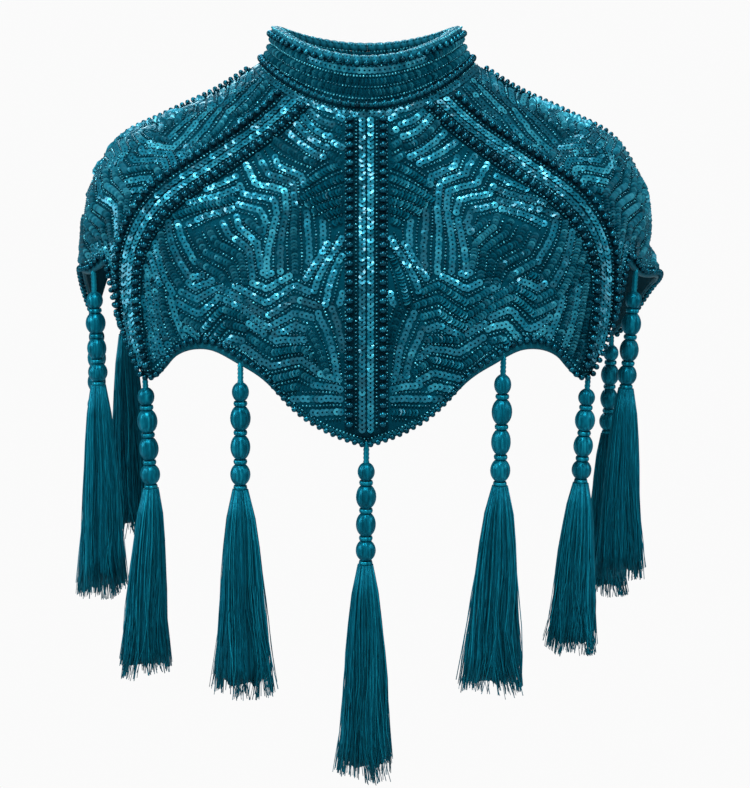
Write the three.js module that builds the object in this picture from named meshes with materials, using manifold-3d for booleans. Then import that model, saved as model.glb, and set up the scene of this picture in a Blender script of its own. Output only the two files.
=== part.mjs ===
// A beaded tassel capelet, worn on the shoulders: seven flared gores under pearl bands,
// a stand collar, and tassels hung from its scalloped hem. Millimetres, +Z up, the front
// faces -Y, the origin is the middle of the neck ring at the height of the side neck.
import * as THREE from 'three';
import { mergeVertices } from 'three/addons/utils/BufferGeometryUtils.js';
import Module from 'manifold-3d';

const wasm = await Module();
wasm.setup();

// Driving dimensions
const CLOTH = 1.8; // sequinned net on its backing cloth
const SEAM_GAP = 0.3;
const BAND_WIDTH = 30;
const BAND_THICKNESS = 1.2;
const BAND_MARGIN = 0.5; // of bare gore beyond a band's edge, where the gore's grid turns
const PEARL_ROW_OFFSET = 11.5; // from a band's middle to each of its two pearl rows
const PEARL_ROW_HEIGHT = 4.5;
const PEARL_ROW_FOOT = 2.4;
const COLLAR_THICKNESS = 2;
const COLLAR_ROLL_RADIUS = 3.6;
const NECK_CORD_RADIUS = 2.6;
const UNDERLAP_WIDTH = 24;
const UNDERLAP_THICKNESS = 1.2;
const GORE_ROWS = 10;
const GORE_COLUMNS = 9; // between the two bands that edge a gore

// The form, as level rings around the body. A row is 40 mm further down the cloth than the
// one before. side, front and back are the ring's reach from the axis, and sideZ, frontZ and
// backZ its height there. square rounds its corners, and crest lifts its sides over the
// shoulders.
const RING_STEP = 40;
const RINGS = [
  { side: 74, front: 71, back: 66, sideZ: 0, frontZ: -29, backZ: -8, square: 2, crest: 2 },
  { side: 109, front: 86, back: 82, sideZ: -22.5, frontZ: -65, backZ: -46, square: 2.05, crest: 2.2 },
  { side: 148, front: 99, back: 95, sideZ: -40.5, frontZ: -102, backZ: -84, square: 2.2, crest: 2.4 },
  { side: 183, front: 112, back: 109, sideZ: -58.5, frontZ: -140, backZ: -115, square: 2.4, crest: 2.5 },
  { side: 203.5, front: 122, back: 119, sideZ: -91, frontZ: -178, backZ: -151, square: 2.5, crest: 2.4 },
  { side: 208, front: 129, back: 125, sideZ: -131, frontZ: -217, backZ: -188, square: 2.55, crest: 2.2 },
  { side: 210, front: 134, back: 127, sideZ: -170, frontZ: -256, backZ: -226, square: 2.4, crest: 2.1 },
  { side: 208, front: 135, back: 126, sideZ: -210, frontZ: -295, backZ: -265, square: 2.3, crest: 2 },
];

// The hem's largest folds, as soft outward waves: at and spread in degrees around the body,
// from and full how far down the cloth each begins and is full, and push its height.
const FOLDS = [
  { at: 84, spread: 11, from: 198, full: 238, push: 9 },
  { at: 22, spread: 12, from: 130, full: 200, push: 2.5 },
  { at: 337, spread: 12, from: 130, full: 200, push: 2.5 },
  { at: 280, spread: 12, from: 150, full: 215, push: 2 },
  { at: 132, spread: 14, from: 140, full: 205, push: 3 },
  { at: 226, spread: 14, from: 140, full: 205, push: 3 },
];
const FOLD_SPLAY = 1.6; // a fold stands out from the body more to the front than to the side

// The collar's rings, from its foot up to its rim, in the same terms.
const COLLAR_RINGS = [
  { rise: 0, side: 74, front: 71, back: 66, sideZ: 0, frontZ: -29, backZ: -8 },
  { rise: 0.3, side: 71.5, front: 68.5, back: 64.5, sideZ: 5.5, frontZ: -20, backZ: -4 },
  { rise: 0.65, side: 69, front: 66, back: 63, sideZ: 12, frontZ: -10.5, backZ: 1 },
  { rise: 1, side: 67.5, front: 65, back: 62, sideZ: 18, frontZ: -2.5, backZ: 5.5 },
];

// The bands, in degrees around the body from the front, towards +X. neck, body and hem say
// where a band runs, and reach how far down the cloth its tip lies.
const BANDS = [
  { name: 'front', neck: 0, body: 0, hem: 0, reach: 245 },
  { name: 'slant_left', neck: 37, body: 51, hem: 45, reach: 245 },
  { name: 'shoulder_left', neck: 97, body: 100, hem: 114, reach: 276 },
  { name: 'rear_left', neck: 154, body: 154, hem: 154, reach: 258 },
  { name: 'rear_right', neck: 206, body: 206, hem: 206, reach: 258 },
  { name: 'shoulder_right', neck: 263, body: 260, hem: 263, reach: 262 },
  { name: 'slant_right', neck: 323, body: 309, hem: 315, reach: 245 },
];
const CENTRE_BACK = { name: 'centre_back', neck: 180, body: 180, hem: 180, reach: 196 };
const BODY_SHARE = 0.6; // the share of a band's length where it runs at its body angle

// The hem of a gore, for each tenth of its width: 1 at a band's tip, 0 at the top of the arch.
const HEM_DROP = [
  { share: 0.0, front: 1.0, side: 1.0, rear: 1.0, back: 1.0 },
  { share: 0.1, front: 0.83, side: 0.42, rear: 0.72, back: 0.94 },
  { share: 0.2, front: 0.58, side: 0.0, rear: 0.38, back: 0.84 },
  { share: 0.3, front: 0.21, side: 0.1, rear: 0.1, back: 0.71 },
  { share: 0.4, front: 0.06, side: 0.24, rear: 0.0, back: 0.56 },
  { share: 0.5, front: 0.0, side: 0.33, rear: 0.05, back: 0.42 },
  { share: 0.6, front: 0.1, side: 0.39, rear: 0.17, back: 0.28 },
  { share: 0.7, front: 0.31, side: 0.47, rear: 0.36, back: 0.16 },
  { share: 0.8, front: 0.61, side: 0.62, rear: 0.6, back: 0.07 },
  { share: 0.9, front: 0.86, side: 0.83, rear: 0.85, back: 0.02 },
  { share: 1.0, front: 1.0, side: 1.0, rear: 1.0, back: 0.0 },
];

// The cut gores. from and to are the bands that edge each, in the order of its hem's shape,
// arch is how far down the cloth the top of its arch lies, and top is that arch's share.
const GORES = [
  { name: 'gore_front_left', shape: 'front', from: 'front', to: 'slant_left', arch: 192, top: 0.5 },
  { name: 'gore_side_left', shape: 'side', from: 'slant_left', to: 'shoulder_left', arch: 190, top: 0.2 },
  { name: 'gore_rear_left', shape: 'rear', from: 'shoulder_left', to: 'rear_left', arch: 190, top: 0.4 },
  { name: 'gore_back_left', shape: 'back', from: 'rear_left', to: 'centre_back', arch: 196, top: 1 },
  { name: 'gore_back_right', shape: 'back', from: 'rear_right', to: 'centre_back', arch: 196, top: 1 },
  { name: 'gore_rear_right', shape: 'rear', from: 'shoulder_right', to: 'rear_right', arch: 190, top: 0.4 },
  { name: 'gore_side_right', shape: 'side', from: 'slant_right', to: 'shoulder_right', arch: 190, top: 0.2 },
  { name: 'gore_front_right', shape: 'front', from: 'front', to: 'slant_right', arch: 192, top: 0.5 },
];

// The tassels: the gore and the share of its width that each hangs from, the length of its
// cord, of its four wrapped balls together and of its skirt, the skirt's radius at the end,
// how far the tassel leans towards +X in degrees, and how far its skirt's end sways there.
const TASSELS = [
  {
    name: 'front', gore: 'gore_front_left', share: 0,
    cord: 12, balls: 73, skirt: 152, spread: 20, lean: -0.4, sway: 1,
  },
  {
    name: 'front_left', gore: 'gore_front_left', share: 0.43,
    cord: 11, balls: 79, skirt: 148, spread: 22, lean: -0.9, sway: -2,
  },
  {
    name: 'front_right', gore: 'gore_front_right', share: 0.385,
    cord: 12, balls: 76, skirt: 146, spread: 21, lean: -0.8, sway: 3,
  },
  {
    name: 'slant_left', gore: 'gore_side_left', share: 0,
    cord: 8, balls: 68, skirt: 122, spread: 18, lean: -2.8, sway: 1,
  },
  {
    name: 'slant_right', gore: 'gore_side_right', share: 0,
    cord: 7, balls: 73, skirt: 135, spread: 18, lean: 1.8, sway: -12,
  },
  {
    name: 'side_left', gore: 'gore_side_left', share: 0.34,
    cord: 14, balls: 71, skirt: 140, spread: 17, lean: -3.4, sway: 6,
  },
  {
    name: 'side_right', gore: 'gore_side_right', share: 0.38,
    cord: 14, balls: 68, skirt: 152, spread: 17, lean: 1, sway: -2,
  },
  {
    name: 'shoulder_left', gore: 'gore_side_left', share: 1,
    cord: 6, balls: 71, skirt: 128, spread: 17, lean: -1, sway: 3,
  },
  {
    name: 'shoulder_right', gore: 'gore_side_right', share: 1,
    cord: 10, balls: 68, skirt: 140, spread: 16, lean: -1.5, sway: 2,
  },
  {
    name: 'rear_right', gore: 'gore_rear_right', share: 0.29,
    cord: 8, balls: 64, skirt: 160, spread: 17, lean: 0, sway: 1,
  },
];
const CORD_RADIUS = 1.3;
const CORD_POINT = 2.6; // the cord is drawn to a point where it is sewn to the hem
const TASSEL_GAP = 0.5;
const BINDING_RADIUS = 4.3;
const BINDING_HEIGHT = 2.2;
const BALLS = [
  { radius: 6, height: 12 },
  { radius: 7.2, height: 16 },
  { radius: 7, height: 16 },
  { radius: 7.1, height: 14 },
];
const BALL_OUTLINE = [
  { width: 0.72, share: 0.12 },
  { width: 1, share: 0.5 },
  { width: 0.76, share: 0.9 },
];
const HEAD_RADIUS = 6.6;
const HEAD_HEIGHT = 9;
const LOCKS = [
  { count: 10, root: 4.9, size: 1.2, spread: 1 },
  { count: 5, root: 2.2, size: 1.1, spread: 0.5 },
];
const LOCK_BEND = { drop: 0.3, spread: 0.6, size: 2.1 }; // where a lock turns down, as shares
const LOCK_END_SIZE = 3;
const LOCK_ROOT = 0.55; // how far down the head a lock grows out of it, as a share
const STEM_SIDES = 7;

const SEQUIN_TEAL = { color: 0x075164, roughness: 0.35, metalness: 0.3 };
const PEARL_TEAL = { color: 0x0b4a5e, roughness: 0.25, metalness: 0.1 };
const COLLAR_TEAL = { color: 0x053b4c, roughness: 0.4, metalness: 0.2 };
const SILK_TEAL = { color: 0x0c5f7a, roughness: 0.5, metalness: 0 };
const CLOTH_TEAL = { color: 0x034456, roughness: 0.8, metalness: 0 };

const capelet = new THREE.Group();

function addPiece(name, geometry, finish) {
  const piece = new THREE.Mesh(geometry, new THREE.MeshStandardMaterial(finish));
  piece.name = name;
  capelet.add(piece);
  return piece;
}

// A smooth value between evenly spaced ones (a Catmull-Rom curve).
function smoothBetween(values, position) {
  const last = values.length - 1;
  const index = Math.min(Math.max(Math.floor(position), 0), last - 1);
  const t = position - index;
  const p1 = values[index];
  const p2 = values[index + 1];
  const p0 = index > 0 ? values[index - 1] : 2 * p1 - p2;
  const p3 = index + 2 <= last ? values[index + 2] : 2 * p2 - p1;
  const bend = (2 * p0 - 5 * p1 + 4 * p2 - p3) * t * t;
  const twist = (3 * p1 - p0 - 3 * p2 + p3) * t * t * t;
  return 0.5 * (2 * p1 + (p2 - p0) * t + bend + twist);
}

// The point of a ring at an angle around the body.
function onRing(ring, degrees) {
  const angle = THREE.MathUtils.degToRad(degrees);
  const across = Math.sin(angle);
  const ahead = Math.cos(angle);
  const power = 2 / ring.square;
  const depth = ahead > 0 ? ring.front : ring.back;
  const middleZ = ahead > 0 ? ring.frontZ : ring.backZ;
  return new THREE.Vector3(
    ring.side * Math.sign(across) * Math.abs(across) ** power,
    -depth * Math.sign(ahead) * Math.abs(ahead) ** power,
    middleZ + (ring.sideZ - middleZ) * Math.abs(across) ** ring.crest,
  );
}

function blendRing(rings, position) {
  const ring = {};
  for (const key of Object.keys(rings[0])) {
    ring[key] = smoothBetween(rings.map((row) => row[key]), position);
  }
  return ring;
}

function foldHeight(along, degrees) {
  let height = 0;
  for (const fold of FOLDS) {
    const apart = THREE.MathUtils.euclideanModulo(degrees - fold.at + 180, 360) - 180;
    const grown = THREE.MathUtils.smoothstep(along, fold.from, fold.full);
    height += fold.push * grown * Math.exp(-((apart / fold.spread) ** 2));
  }
  return height;
}

function bodyPoint(along, degrees) {
  const point = onRing(blendRing(RINGS, along / RING_STEP), degrees);
  const outward = new THREE.Vector3(point.x, FOLD_SPLAY * point.y, 0).normalize();
  return point.addScaledVector(outward, foldHeight(along, degrees));
}

function bodyNormal(along, degrees) {
  const down = bodyPoint(along + 2, degrees).sub(bodyPoint(along - 2, degrees));
  const around = bodyPoint(along, degrees + 1).sub(bodyPoint(along, degrees - 1));
  return down.cross(around).normalize();
}

function lifted(spot, height) {
  const normal = bodyNormal(spot.along, spot.degrees);
  return bodyPoint(spot.along, spot.degrees).addScaledVector(normal, height);
}

// The angle that lies a distance around the body from another one, at the same level.
const WIDEST_TURN = 60;
const HALVINGS = 24;

function angleAcross(along, degrees, distance) {
  const start = bodyPoint(along, degrees);
  let near = 0;
  let far = WIDEST_TURN;
  for (let step = 0; step < HALVINGS; step += 1) {
    const middle = (near + far) / 2;
    const reached = bodyPoint(along, degrees + Math.sign(distance) * middle);
    if (reached.distanceTo(start) < Math.abs(distance)) near = middle;
    else far = middle;
  }
  return degrees + Math.sign(distance) * near;
}

function bandAngle(band, along) {
  const share = THREE.MathUtils.clamp(along / band.reach, 0, 1);
  const rising = Math.sin((Math.PI / 2) * Math.min(1, share / BODY_SHARE));
  const falling = Math.max(0, (share - BODY_SHARE) / (1 - BODY_SHARE)) ** 2;
  return band.neck + (band.body - band.neck) * rising + (band.hem - band.body) * falling;
}

function bandNamed(name) {
  return name === CENTRE_BACK.name ? CENTRE_BACK : BANDS.find((band) => band.name === name);
}

function hemReach(gore, share) {
  const tip = bandNamed(share < gore.top ? gore.from : gore.to).reach;
  const drops = HEM_DROP.map((row) => row[gore.shape]);
  const drop = smoothBetween(drops, share * (HEM_DROP.length - 1));
  return gore.arch + (tip - gore.arch) * Math.max(0, drop);
}

// Seen from its first band, a gore on the wearer's right runs the other way round the body.
function goreBands(gore) {
  const from = bandNamed(gore.from);
  const to = bandNamed(gore.to);
  const turn = gore.name.endsWith('left') ? 1 : -1;
  return { from, to, turn };
}

function unwrapped(degrees, turn) {
  return turn < 0 && degrees < 90 ? degrees + 360 : degrees;
}

// One column of a gore's grid at one level. Column 0 is the seam, column 1 the band's edge.
function columnAngle(gore, column, along) {
  const { from, to, turn } = goreBands(gore);
  const start = unwrapped(bandAngle(from, along), turn);
  const end = unwrapped(bandAngle(to, along), turn);
  const last = GORE_COLUMNS + 2;
  const seam = SEAM_GAP / 2;
  const half = BAND_WIDTH / 2 + BAND_MARGIN;
  const opens = to === CENTRE_BACK;
  if (column === 0) return angleAcross(along, start, turn * seam);
  if (column === last) return angleAcross(along, end, -turn * seam);
  const first = angleAcross(along, start, turn * half);
  const final = opens ? angleAcross(along, end, -turn * seam) : angleAcross(along, end, -turn * half);
  const steps = opens ? last - 1 : last - 2;
  return first + ((final - first) * (column - 1)) / steps;
}

const REACH_PASSES = 6; // a column's length sets its share of the width, and the other way

function goreSpots(gore) {
  const { from, to, turn } = goreBands(gore);
  const columns = [];
  for (let column = 0; column <= GORE_COLUMNS + 2; column += 1) {
    let reach = from.reach;
    for (let pass = 0; pass < REACH_PASSES; pass += 1) {
      const start = unwrapped(bandAngle(from, reach), turn);
      const end = unwrapped(bandAngle(to, reach), turn);
      const share = (columnAngle(gore, column, reach) - start) / (end - start);
      reach = hemReach(gore, THREE.MathUtils.clamp(share, 0, 1));
    }
    const spots = [];
    for (let row = 0; row <= GORE_ROWS; row += 1) {
      const along = (reach * row) / GORE_ROWS;
      spots.push({ along, degrees: columnAngle(gore, column, along) });
    }
    columns.push(spots);
  }
  return columns;
}

// A closed wall from an outer and an inner grid of points, grid[column][row]. Each square is
// split along the diagonal that lies deeper, so that what lies on the wall stays clear of it.
function wallGeometry(outer, inner) {
  const columns = outer.length;
  const rows = outer[0].length;
  const positions = [...outer, ...inner].flat().flatMap((point) => point.toArray());
  const outside = (column, row) => column * rows + row;
  const inside = (column, row) => (columns + column) * rows + row;
  const faces = [];
  const quad = (a, b, c, d) => faces.push(a, b, c, a, c, d);
  for (let column = 0; column + 1 < columns; column += 1) {
    for (let row = 0; row + 1 < rows; row += 1) {
      const corners = [[column, row], [column, row + 1], [column + 1, row + 1], [column + 1, row]];
      const at = corners.map(([c, r]) => outer[c][r]);
      const inward = inner[column][row].clone().sub(at[0]);
      const across = at[0].clone().add(at[2]).sub(at[1]).sub(at[3]);
      const turned = across.dot(inward) > 0 ? corners : [...corners.slice(1), corners[0]];
      quad(...turned.map(([c, r]) => outside(c, r)));
      const [first, ...others] = turned.map(([c, r]) => inside(c, r));
      quad(first, ...others.reverse());
    }
    quad(outside(column, 0), outside(column + 1, 0), inside(column + 1, 0), inside(column, 0));
    quad(outside(column, rows - 1), inside(column, rows - 1),
      inside(column + 1, rows - 1), outside(column + 1, rows - 1));
  }
  for (let row = 0; row + 1 < rows; row += 1) {
    quad(outside(0, row), inside(0, row), inside(0, row + 1), outside(0, row + 1));
    quad(outside(columns - 1, row), outside(columns - 1, row + 1),
      inside(columns - 1, row + 1), inside(columns - 1, row));
  }
  return facingOut(positions, faces);
}

// An indexed geometry whose faces point outwards, whichever way its grid ran.
function facingOut(positions, faces) {
  const corner = (index) => new THREE.Vector3().fromArray(positions, 3 * index);
  let volume = 0;
  for (let at = 0; at < faces.length; at += 3) {
    volume += corner(faces[at]).dot(corner(faces[at + 1]).cross(corner(faces[at + 2])));
  }
  const geometry = new THREE.BufferGeometry();
  geometry.setAttribute('position', new THREE.Float32BufferAttribute(positions, 3));
  geometry.setIndex(volume > 0 ? faces : faces.reverse());
  geometry.computeVertexNormals();
  return geometry;
}

// The gores: each a cloth wall between two seams, its hem cut to the arch between two tips.
const goreGrids = new Map();
for (const gore of GORES) {
  const spots = goreSpots(gore);
  goreGrids.set(gore.name, spots);
  const outer = spots.map((column) => column.map((spot) => lifted(spot, 0)));
  const inner = spots.map((column) => column.map((spot) => lifted(spot, -CLOTH)));
  addPiece(gore.name, wallGeometry(outer, inner), SEQUIN_TEAL);
}

// A band lies on the two gores that it joins. Its points are theirs, moved out, and its two
// pearl rows stand up as ridges.
const BAND_COLUMNS = [
  { offset: -BAND_WIDTH / 2, raise: 0 },
  { offset: -PEARL_ROW_OFFSET - PEARL_ROW_FOOT, raise: 0 },
  { offset: -PEARL_ROW_OFFSET, raise: PEARL_ROW_HEIGHT },
  { offset: -PEARL_ROW_OFFSET + PEARL_ROW_FOOT, raise: 0 },
  { offset: 0, raise: 0 },
  { offset: PEARL_ROW_OFFSET - PEARL_ROW_FOOT, raise: 0 },
  { offset: PEARL_ROW_OFFSET, raise: PEARL_ROW_HEIGHT },
  { offset: PEARL_ROW_OFFSET + PEARL_ROW_FOOT, raise: 0 },
  { offset: BAND_WIDTH / 2, raise: 0 },
];
const BAND_START = 0.045; // shares of the gore's length, clear of the neck cord and the hem
const BAND_END = 0.985;

function bandGrid(band, height) {
  const touching = GORES.filter((gore) => gore.from === band.name || gore.to === band.name);
  const sideGrid = (side) => {
    const gore = touching.find((candidate) => {
      const ahead = candidate.from === band.name ? 1 : -1;
      return ahead * goreBands(candidate).turn === side;
    });
    const grid = goreGrids.get(gore.name);
    const starts = gore.from === band.name;
    return { seam: starts ? grid[0] : grid.at(-1), edge: starts ? grid[1] : grid.at(-2) };
  };
  return BAND_COLUMNS.map(({ offset, raise }) => {
    const { seam, edge } = sideGrid(offset < 0 ? -1 : 1);
    const share = Math.abs(offset) / (BAND_WIDTH / 2 + BAND_MARGIN);
    const points = [];
    for (let row = 0; row <= GORE_ROWS; row += 1) {
      const level = THREE.MathUtils.clamp(row / GORE_ROWS, BAND_START, BAND_END);
      const nearRow = row === 0 ? 0 : row === GORE_ROWS ? GORE_ROWS - 1 : row;
      const part = level * GORE_ROWS - nearRow;
      const raised = row === 0 || row === GORE_ROWS ? 0 : raise;
      const from = seam[nearRow];
      const top = lifted(seam[nearRow], 0).lerp(lifted(edge[nearRow], 0), share);
      const next = Math.min(nearRow + 1, GORE_ROWS);
      const bottom = lifted(seam[next], 0).lerp(lifted(edge[next], 0), share);
      const out = height + (height > SEAM_GAP ? raised : 0);
      points.push(top.lerp(bottom, part).addScaledVector(bodyNormal(from.along, from.degrees), out));
    }
    return points;
  });
}

for (const band of BANDS) {
  const outer = bandGrid(band, SEAM_GAP + BAND_THICKNESS);
  const inner = bandGrid(band, SEAM_GAP);
  addPiece(`band_${band.name}`, wallGeometry(outer, inner), PEARL_TEAL);
}

// The collar: an open ring that meets at the centre back, a hair above the gores' neck edge.
const COLLAR_COLUMNS = 40;
const COLLAR_LIFT = 0.5;
const BACK_EDGE = 179.85; // half of the hair's breadth between the collar's two ends

function collarPoint(rise, degrees, inset) {
  const rises = COLLAR_RINGS.map((row) => row.rise);
  const index = Math.max(0, rises.findLastIndex((value) => value <= rise && value < 1));
  const part = (rise - rises[index]) / (rises[index + 1] - rises[index]);
  const ring = { square: 2, crest: 2, ...blendRing(COLLAR_RINGS, index + part) };
  const point = onRing(ring, degrees);
  const before = onRing(ring, degrees - 1);
  const after = onRing(ring, degrees + 1);
  const outward = new THREE.Vector3(after.y - before.y, before.x - after.x, 0).normalize();
  if (outward.dot(point) < 0) outward.negate();
  return point.addScaledVector(outward, -inset).add(new THREE.Vector3(0, 0, COLLAR_LIFT));
}

function collarGrid(inset) {
  const columns = [];
  for (let column = 0; column <= COLLAR_COLUMNS; column += 1) {
    const degrees = -BACK_EDGE + (2 * BACK_EDGE * column) / COLLAR_COLUMNS;
    columns.push(COLLAR_RINGS.map((row) => collarPoint(row.rise, degrees, inset)));
  }
  return columns;
}
addPiece('collar', wallGeometry(collarGrid(0), collarGrid(COLLAR_THICKNESS)), COLLAR_TEAL);

// A round cord along a curve, as an extruded many-sided section.
function cordGeometry(points, radius, steps, sides) {
  const section = new THREE.Shape();
  for (let side = 0; side < sides; side += 1) {
    const angle = (2 * Math.PI * side) / sides;
    const corner = [radius * Math.cos(angle), radius * Math.sin(angle)];
    if (side === 0) section.moveTo(...corner);
    else section.lineTo(...corner);
  }
  section.closePath();
  const extrudePath = new THREE.CatmullRomCurve3(points);
  return new THREE.ExtrudeGeometry(section, { steps, bevelEnabled: false, extrudePath });
}

function aroundNeck(place) {
  const points = [];
  for (let step = 0; step <= COLLAR_COLUMNS; step += 1) {
    points.push(place(-BACK_EDGE + (2 * BACK_EDGE * step) / COLLAR_COLUMNS));
  }
  return points;
}

// The collar's rolled rim, and the pearl cord that covers the neck seam.
const ROLL_SIDES = 8;
const NECK_CORD_SIDES = 6;
const NECK_CORD_ALONG = 2.2; // how far down the cloth the cord lies
const rimPath = aroundNeck((degrees) => {
  const rim = collarPoint(1, degrees, COLLAR_THICKNESS / 2);
  return rim.add(new THREE.Vector3(0, 0, COLLAR_ROLL_RADIUS + SEAM_GAP));
});
addPiece('collar_roll', cordGeometry(rimPath, COLLAR_ROLL_RADIUS, COLLAR_COLUMNS, ROLL_SIDES), COLLAR_TEAL);

const neckPath = aroundNeck((degrees) => {
  const spot = { along: NECK_CORD_ALONG, degrees };
  return lifted(spot, NECK_CORD_RADIUS + 2 * SEAM_GAP);
});
const neckCord = cordGeometry(neckPath, NECK_CORD_RADIUS, COLLAR_COLUMNS, NECK_CORD_SIDES);
addPiece('neck_cord', neckCord, PEARL_TEAL);

// The back opening's underlap: a plain strip inside the butted edges, in the collar and below.
const UNDERLAP_INSET = COLLAR_THICKNESS + 2 * SEAM_GAP;
const UNDERLAP_RISES = [0.08, 0.3, 0.65, 0.97]; // its levels in the collar, as on its rings
const UNDERLAP_START = 0.03; // shares of the opening's length below the collar
const UNDERLAP_END = 0.98;

function collarUnderlap(inset) {
  const half = THREE.MathUtils.radToDeg(UNDERLAP_WIDTH / 2 / COLLAR_RINGS[0].back);
  const columns = [];
  for (let column = -2; column <= 2; column += 1) {
    const degrees = 180 + (half * column) / 2;
    columns.push(UNDERLAP_RISES.map((rise) => collarPoint(rise, degrees, inset)));
  }
  return columns;
}
const collarUnderlapWall = wallGeometry(
  collarUnderlap(UNDERLAP_INSET),
  collarUnderlap(UNDERLAP_INSET + UNDERLAP_THICKNESS),
);
addPiece('collar_underlap', collarUnderlapWall, CLOTH_TEAL);

function backUnderlap(depth) {
  const columns = [];
  const length = CENTRE_BACK.reach;
  for (let column = -2; column <= 2; column += 1) {
    const offset = (UNDERLAP_WIDTH / 4) * column;
    const points = [];
    for (let row = 0; row <= GORE_ROWS; row += 1) {
      const share = THREE.MathUtils.clamp(row / GORE_ROWS, UNDERLAP_START, UNDERLAP_END);
      const along = length * share;
      const degrees = offset === 0 ? 180 : angleAcross(along, 180, offset);
      points.push(lifted({ along, degrees }, -depth));
    }
    columns.push(points);
  }
  return columns;
}
const underlapDepth = CLOTH + 3 * SEAM_GAP;
const backUnderlapWall = wallGeometry(
  backUnderlap(underlapDepth),
  backUnderlap(underlapDepth + UNDERLAP_THICKNESS),
);
addPiece('back_underlap', backUnderlapWall, CLOTH_TEAL);

// A tassel, hung from its own origin: cord, four wrapped balls between bindings, and a head
// that the locks of its skirt grow out of.
function asSolid(geometry) {
  const bare = geometry.clone();
  bare.deleteAttribute('normal');
  bare.deleteAttribute('uv');
  const merged = mergeVertices(bare, 1e-4);
  const vertProperties = new Float32Array(merged.attributes.position.array);
  const triVerts = new Uint32Array(merged.index.array);
  return new wasm.Manifold(new wasm.Mesh({ numProp: 3, vertProperties, triVerts }));
}

function stemGeometry(tassel) {
  const stretch = tassel.balls / BALLS.reduce((sum, ball) => sum + ball.height + BINDING_HEIGHT, 0);
  const profile = [new THREE.Vector2(0, 0), new THREE.Vector2(CORD_RADIUS, -CORD_POINT)];
  let z = -tassel.cord;
  profile.push(new THREE.Vector2(CORD_RADIUS, z));
  for (const { radius, height } of BALLS) {
    for (const { width, share } of BALL_OUTLINE) {
      profile.push(new THREE.Vector2(radius * width, z - height * stretch * share));
    }
    z -= height * stretch;
    profile.push(new THREE.Vector2(BINDING_RADIUS, z));
    z -= BINDING_HEIGHT * stretch;
    profile.push(new THREE.Vector2(BINDING_RADIUS, z));
  }
  profile.push(new THREE.Vector2(HEAD_RADIUS, z - HEAD_HEIGHT), new THREE.Vector2(0, z - HEAD_HEIGHT));
  const lathe = new THREE.LatheGeometry(profile.reverse(), STEM_SIDES);
  lathe.rotateX(Math.PI / 2);
  return { lathe, headZ: z };
}

function lockGeometry(turn, ring, tassel, headZ) {
  const swing = (tassel.spread - LOCK_END_SIZE - ring.root) * ring.spread;
  const levels = [
    { drop: HEAD_HEIGHT * LOCK_ROOT, reach: ring.root, size: ring.size },
    {
      drop: tassel.skirt * LOCK_BEND.drop,
      reach: ring.root + swing * LOCK_BEND.spread,
      size: LOCK_BEND.size,
    },
    { drop: tassel.skirt, reach: ring.root + swing, size: LOCK_END_SIZE },
  ];
  const positions = [];
  for (const { drop, reach, size } of levels) {
    for (let corner = 0; corner < 3; corner += 1) {
      const angle = turn + (2 * Math.PI * corner) / 3;
      const swayed = (tassel.sway * drop) / tassel.skirt;
      positions.push(reach * Math.cos(turn) + size * Math.cos(angle) + swayed);
      positions.push(reach * Math.sin(turn) + size * Math.sin(angle));
      positions.push(headZ - drop);
    }
  }
  const faces = [0, 1, 2, 6, 8, 7];
  for (const base of [0, 3]) {
    for (let corner = 0; corner < 3; corner += 1) {
      const next = (corner + 1) % 3;
      faces.push(base + corner, base + corner + 3, base + next + 3);
      faces.push(base + corner, base + next + 3, base + next);
    }
  }
  return facingOut(positions, faces);
}

function tasselGeometry(tassel) {
  const { lathe, headZ } = stemGeometry(tassel);
  let solid = asSolid(lathe);
  LOCKS.forEach((ring, order) => {
    for (let index = 0; index < ring.count; index += 1) {
      const turn = (2 * Math.PI * (index + 0.5 * order)) / ring.count;
      solid = solid.add(asSolid(lockGeometry(turn, ring, tassel, headZ)));
    }
  });
  const mesh = solid.getMesh();
  const geometry = new THREE.BufferGeometry();
  geometry.setAttribute('position', new THREE.BufferAttribute(mesh.vertProperties, 3));
  geometry.setIndex(new THREE.BufferAttribute(mesh.triVerts, 1));
  geometry.computeVertexNormals();
  return geometry;
}

// The middle of a gore's cut edge, at a share of its width.
function hemPoint(gore, share) {
  const { from, to, turn } = goreBands(gore);
  const reach = hemReach(gore, share);
  const start = unwrapped(bandAngle(from, reach), turn);
  const end = unwrapped(bandAngle(to, reach), turn);
  const target = start + (end - start) * share;
  const corners = goreGrids.get(gore.name).map((column) => column.at(-1));
  const beyond = corners.findIndex((corner) => turn * (corner.degrees - target) > 0);
  const next = beyond < 0 ? corners.length - 1 : Math.max(1, beyond);
  const before = corners[next - 1];
  const after = corners[next];
  const part = (target - before.degrees) / (after.degrees - before.degrees);
  const left = lifted(before, -CLOTH / 2);
  return left.lerp(lifted(after, -CLOTH / 2), THREE.MathUtils.clamp(part, 0, 1));
}

for (const tassel of TASSELS) {
  const gore = GORES.find((candidate) => candidate.name === tassel.gore);
  const piece = addPiece(`tassel_${tassel.name}`, tasselGeometry(tassel), SILK_TEAL);
  piece.position.copy(hemPoint(gore, tassel.share));
  piece.position.z -= TASSEL_GAP;
  piece.rotation.y = -THREE.MathUtils.degToRad(tassel.lean);
}

export default capelet;
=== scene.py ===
# The tassel capelet: flared gores under pearl bands, a beaded stand collar, a bound and pearled
# hem, and tassels of wrapped balls. Sizes are in millimetres, and a finished mesh in metres.
import math

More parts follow.
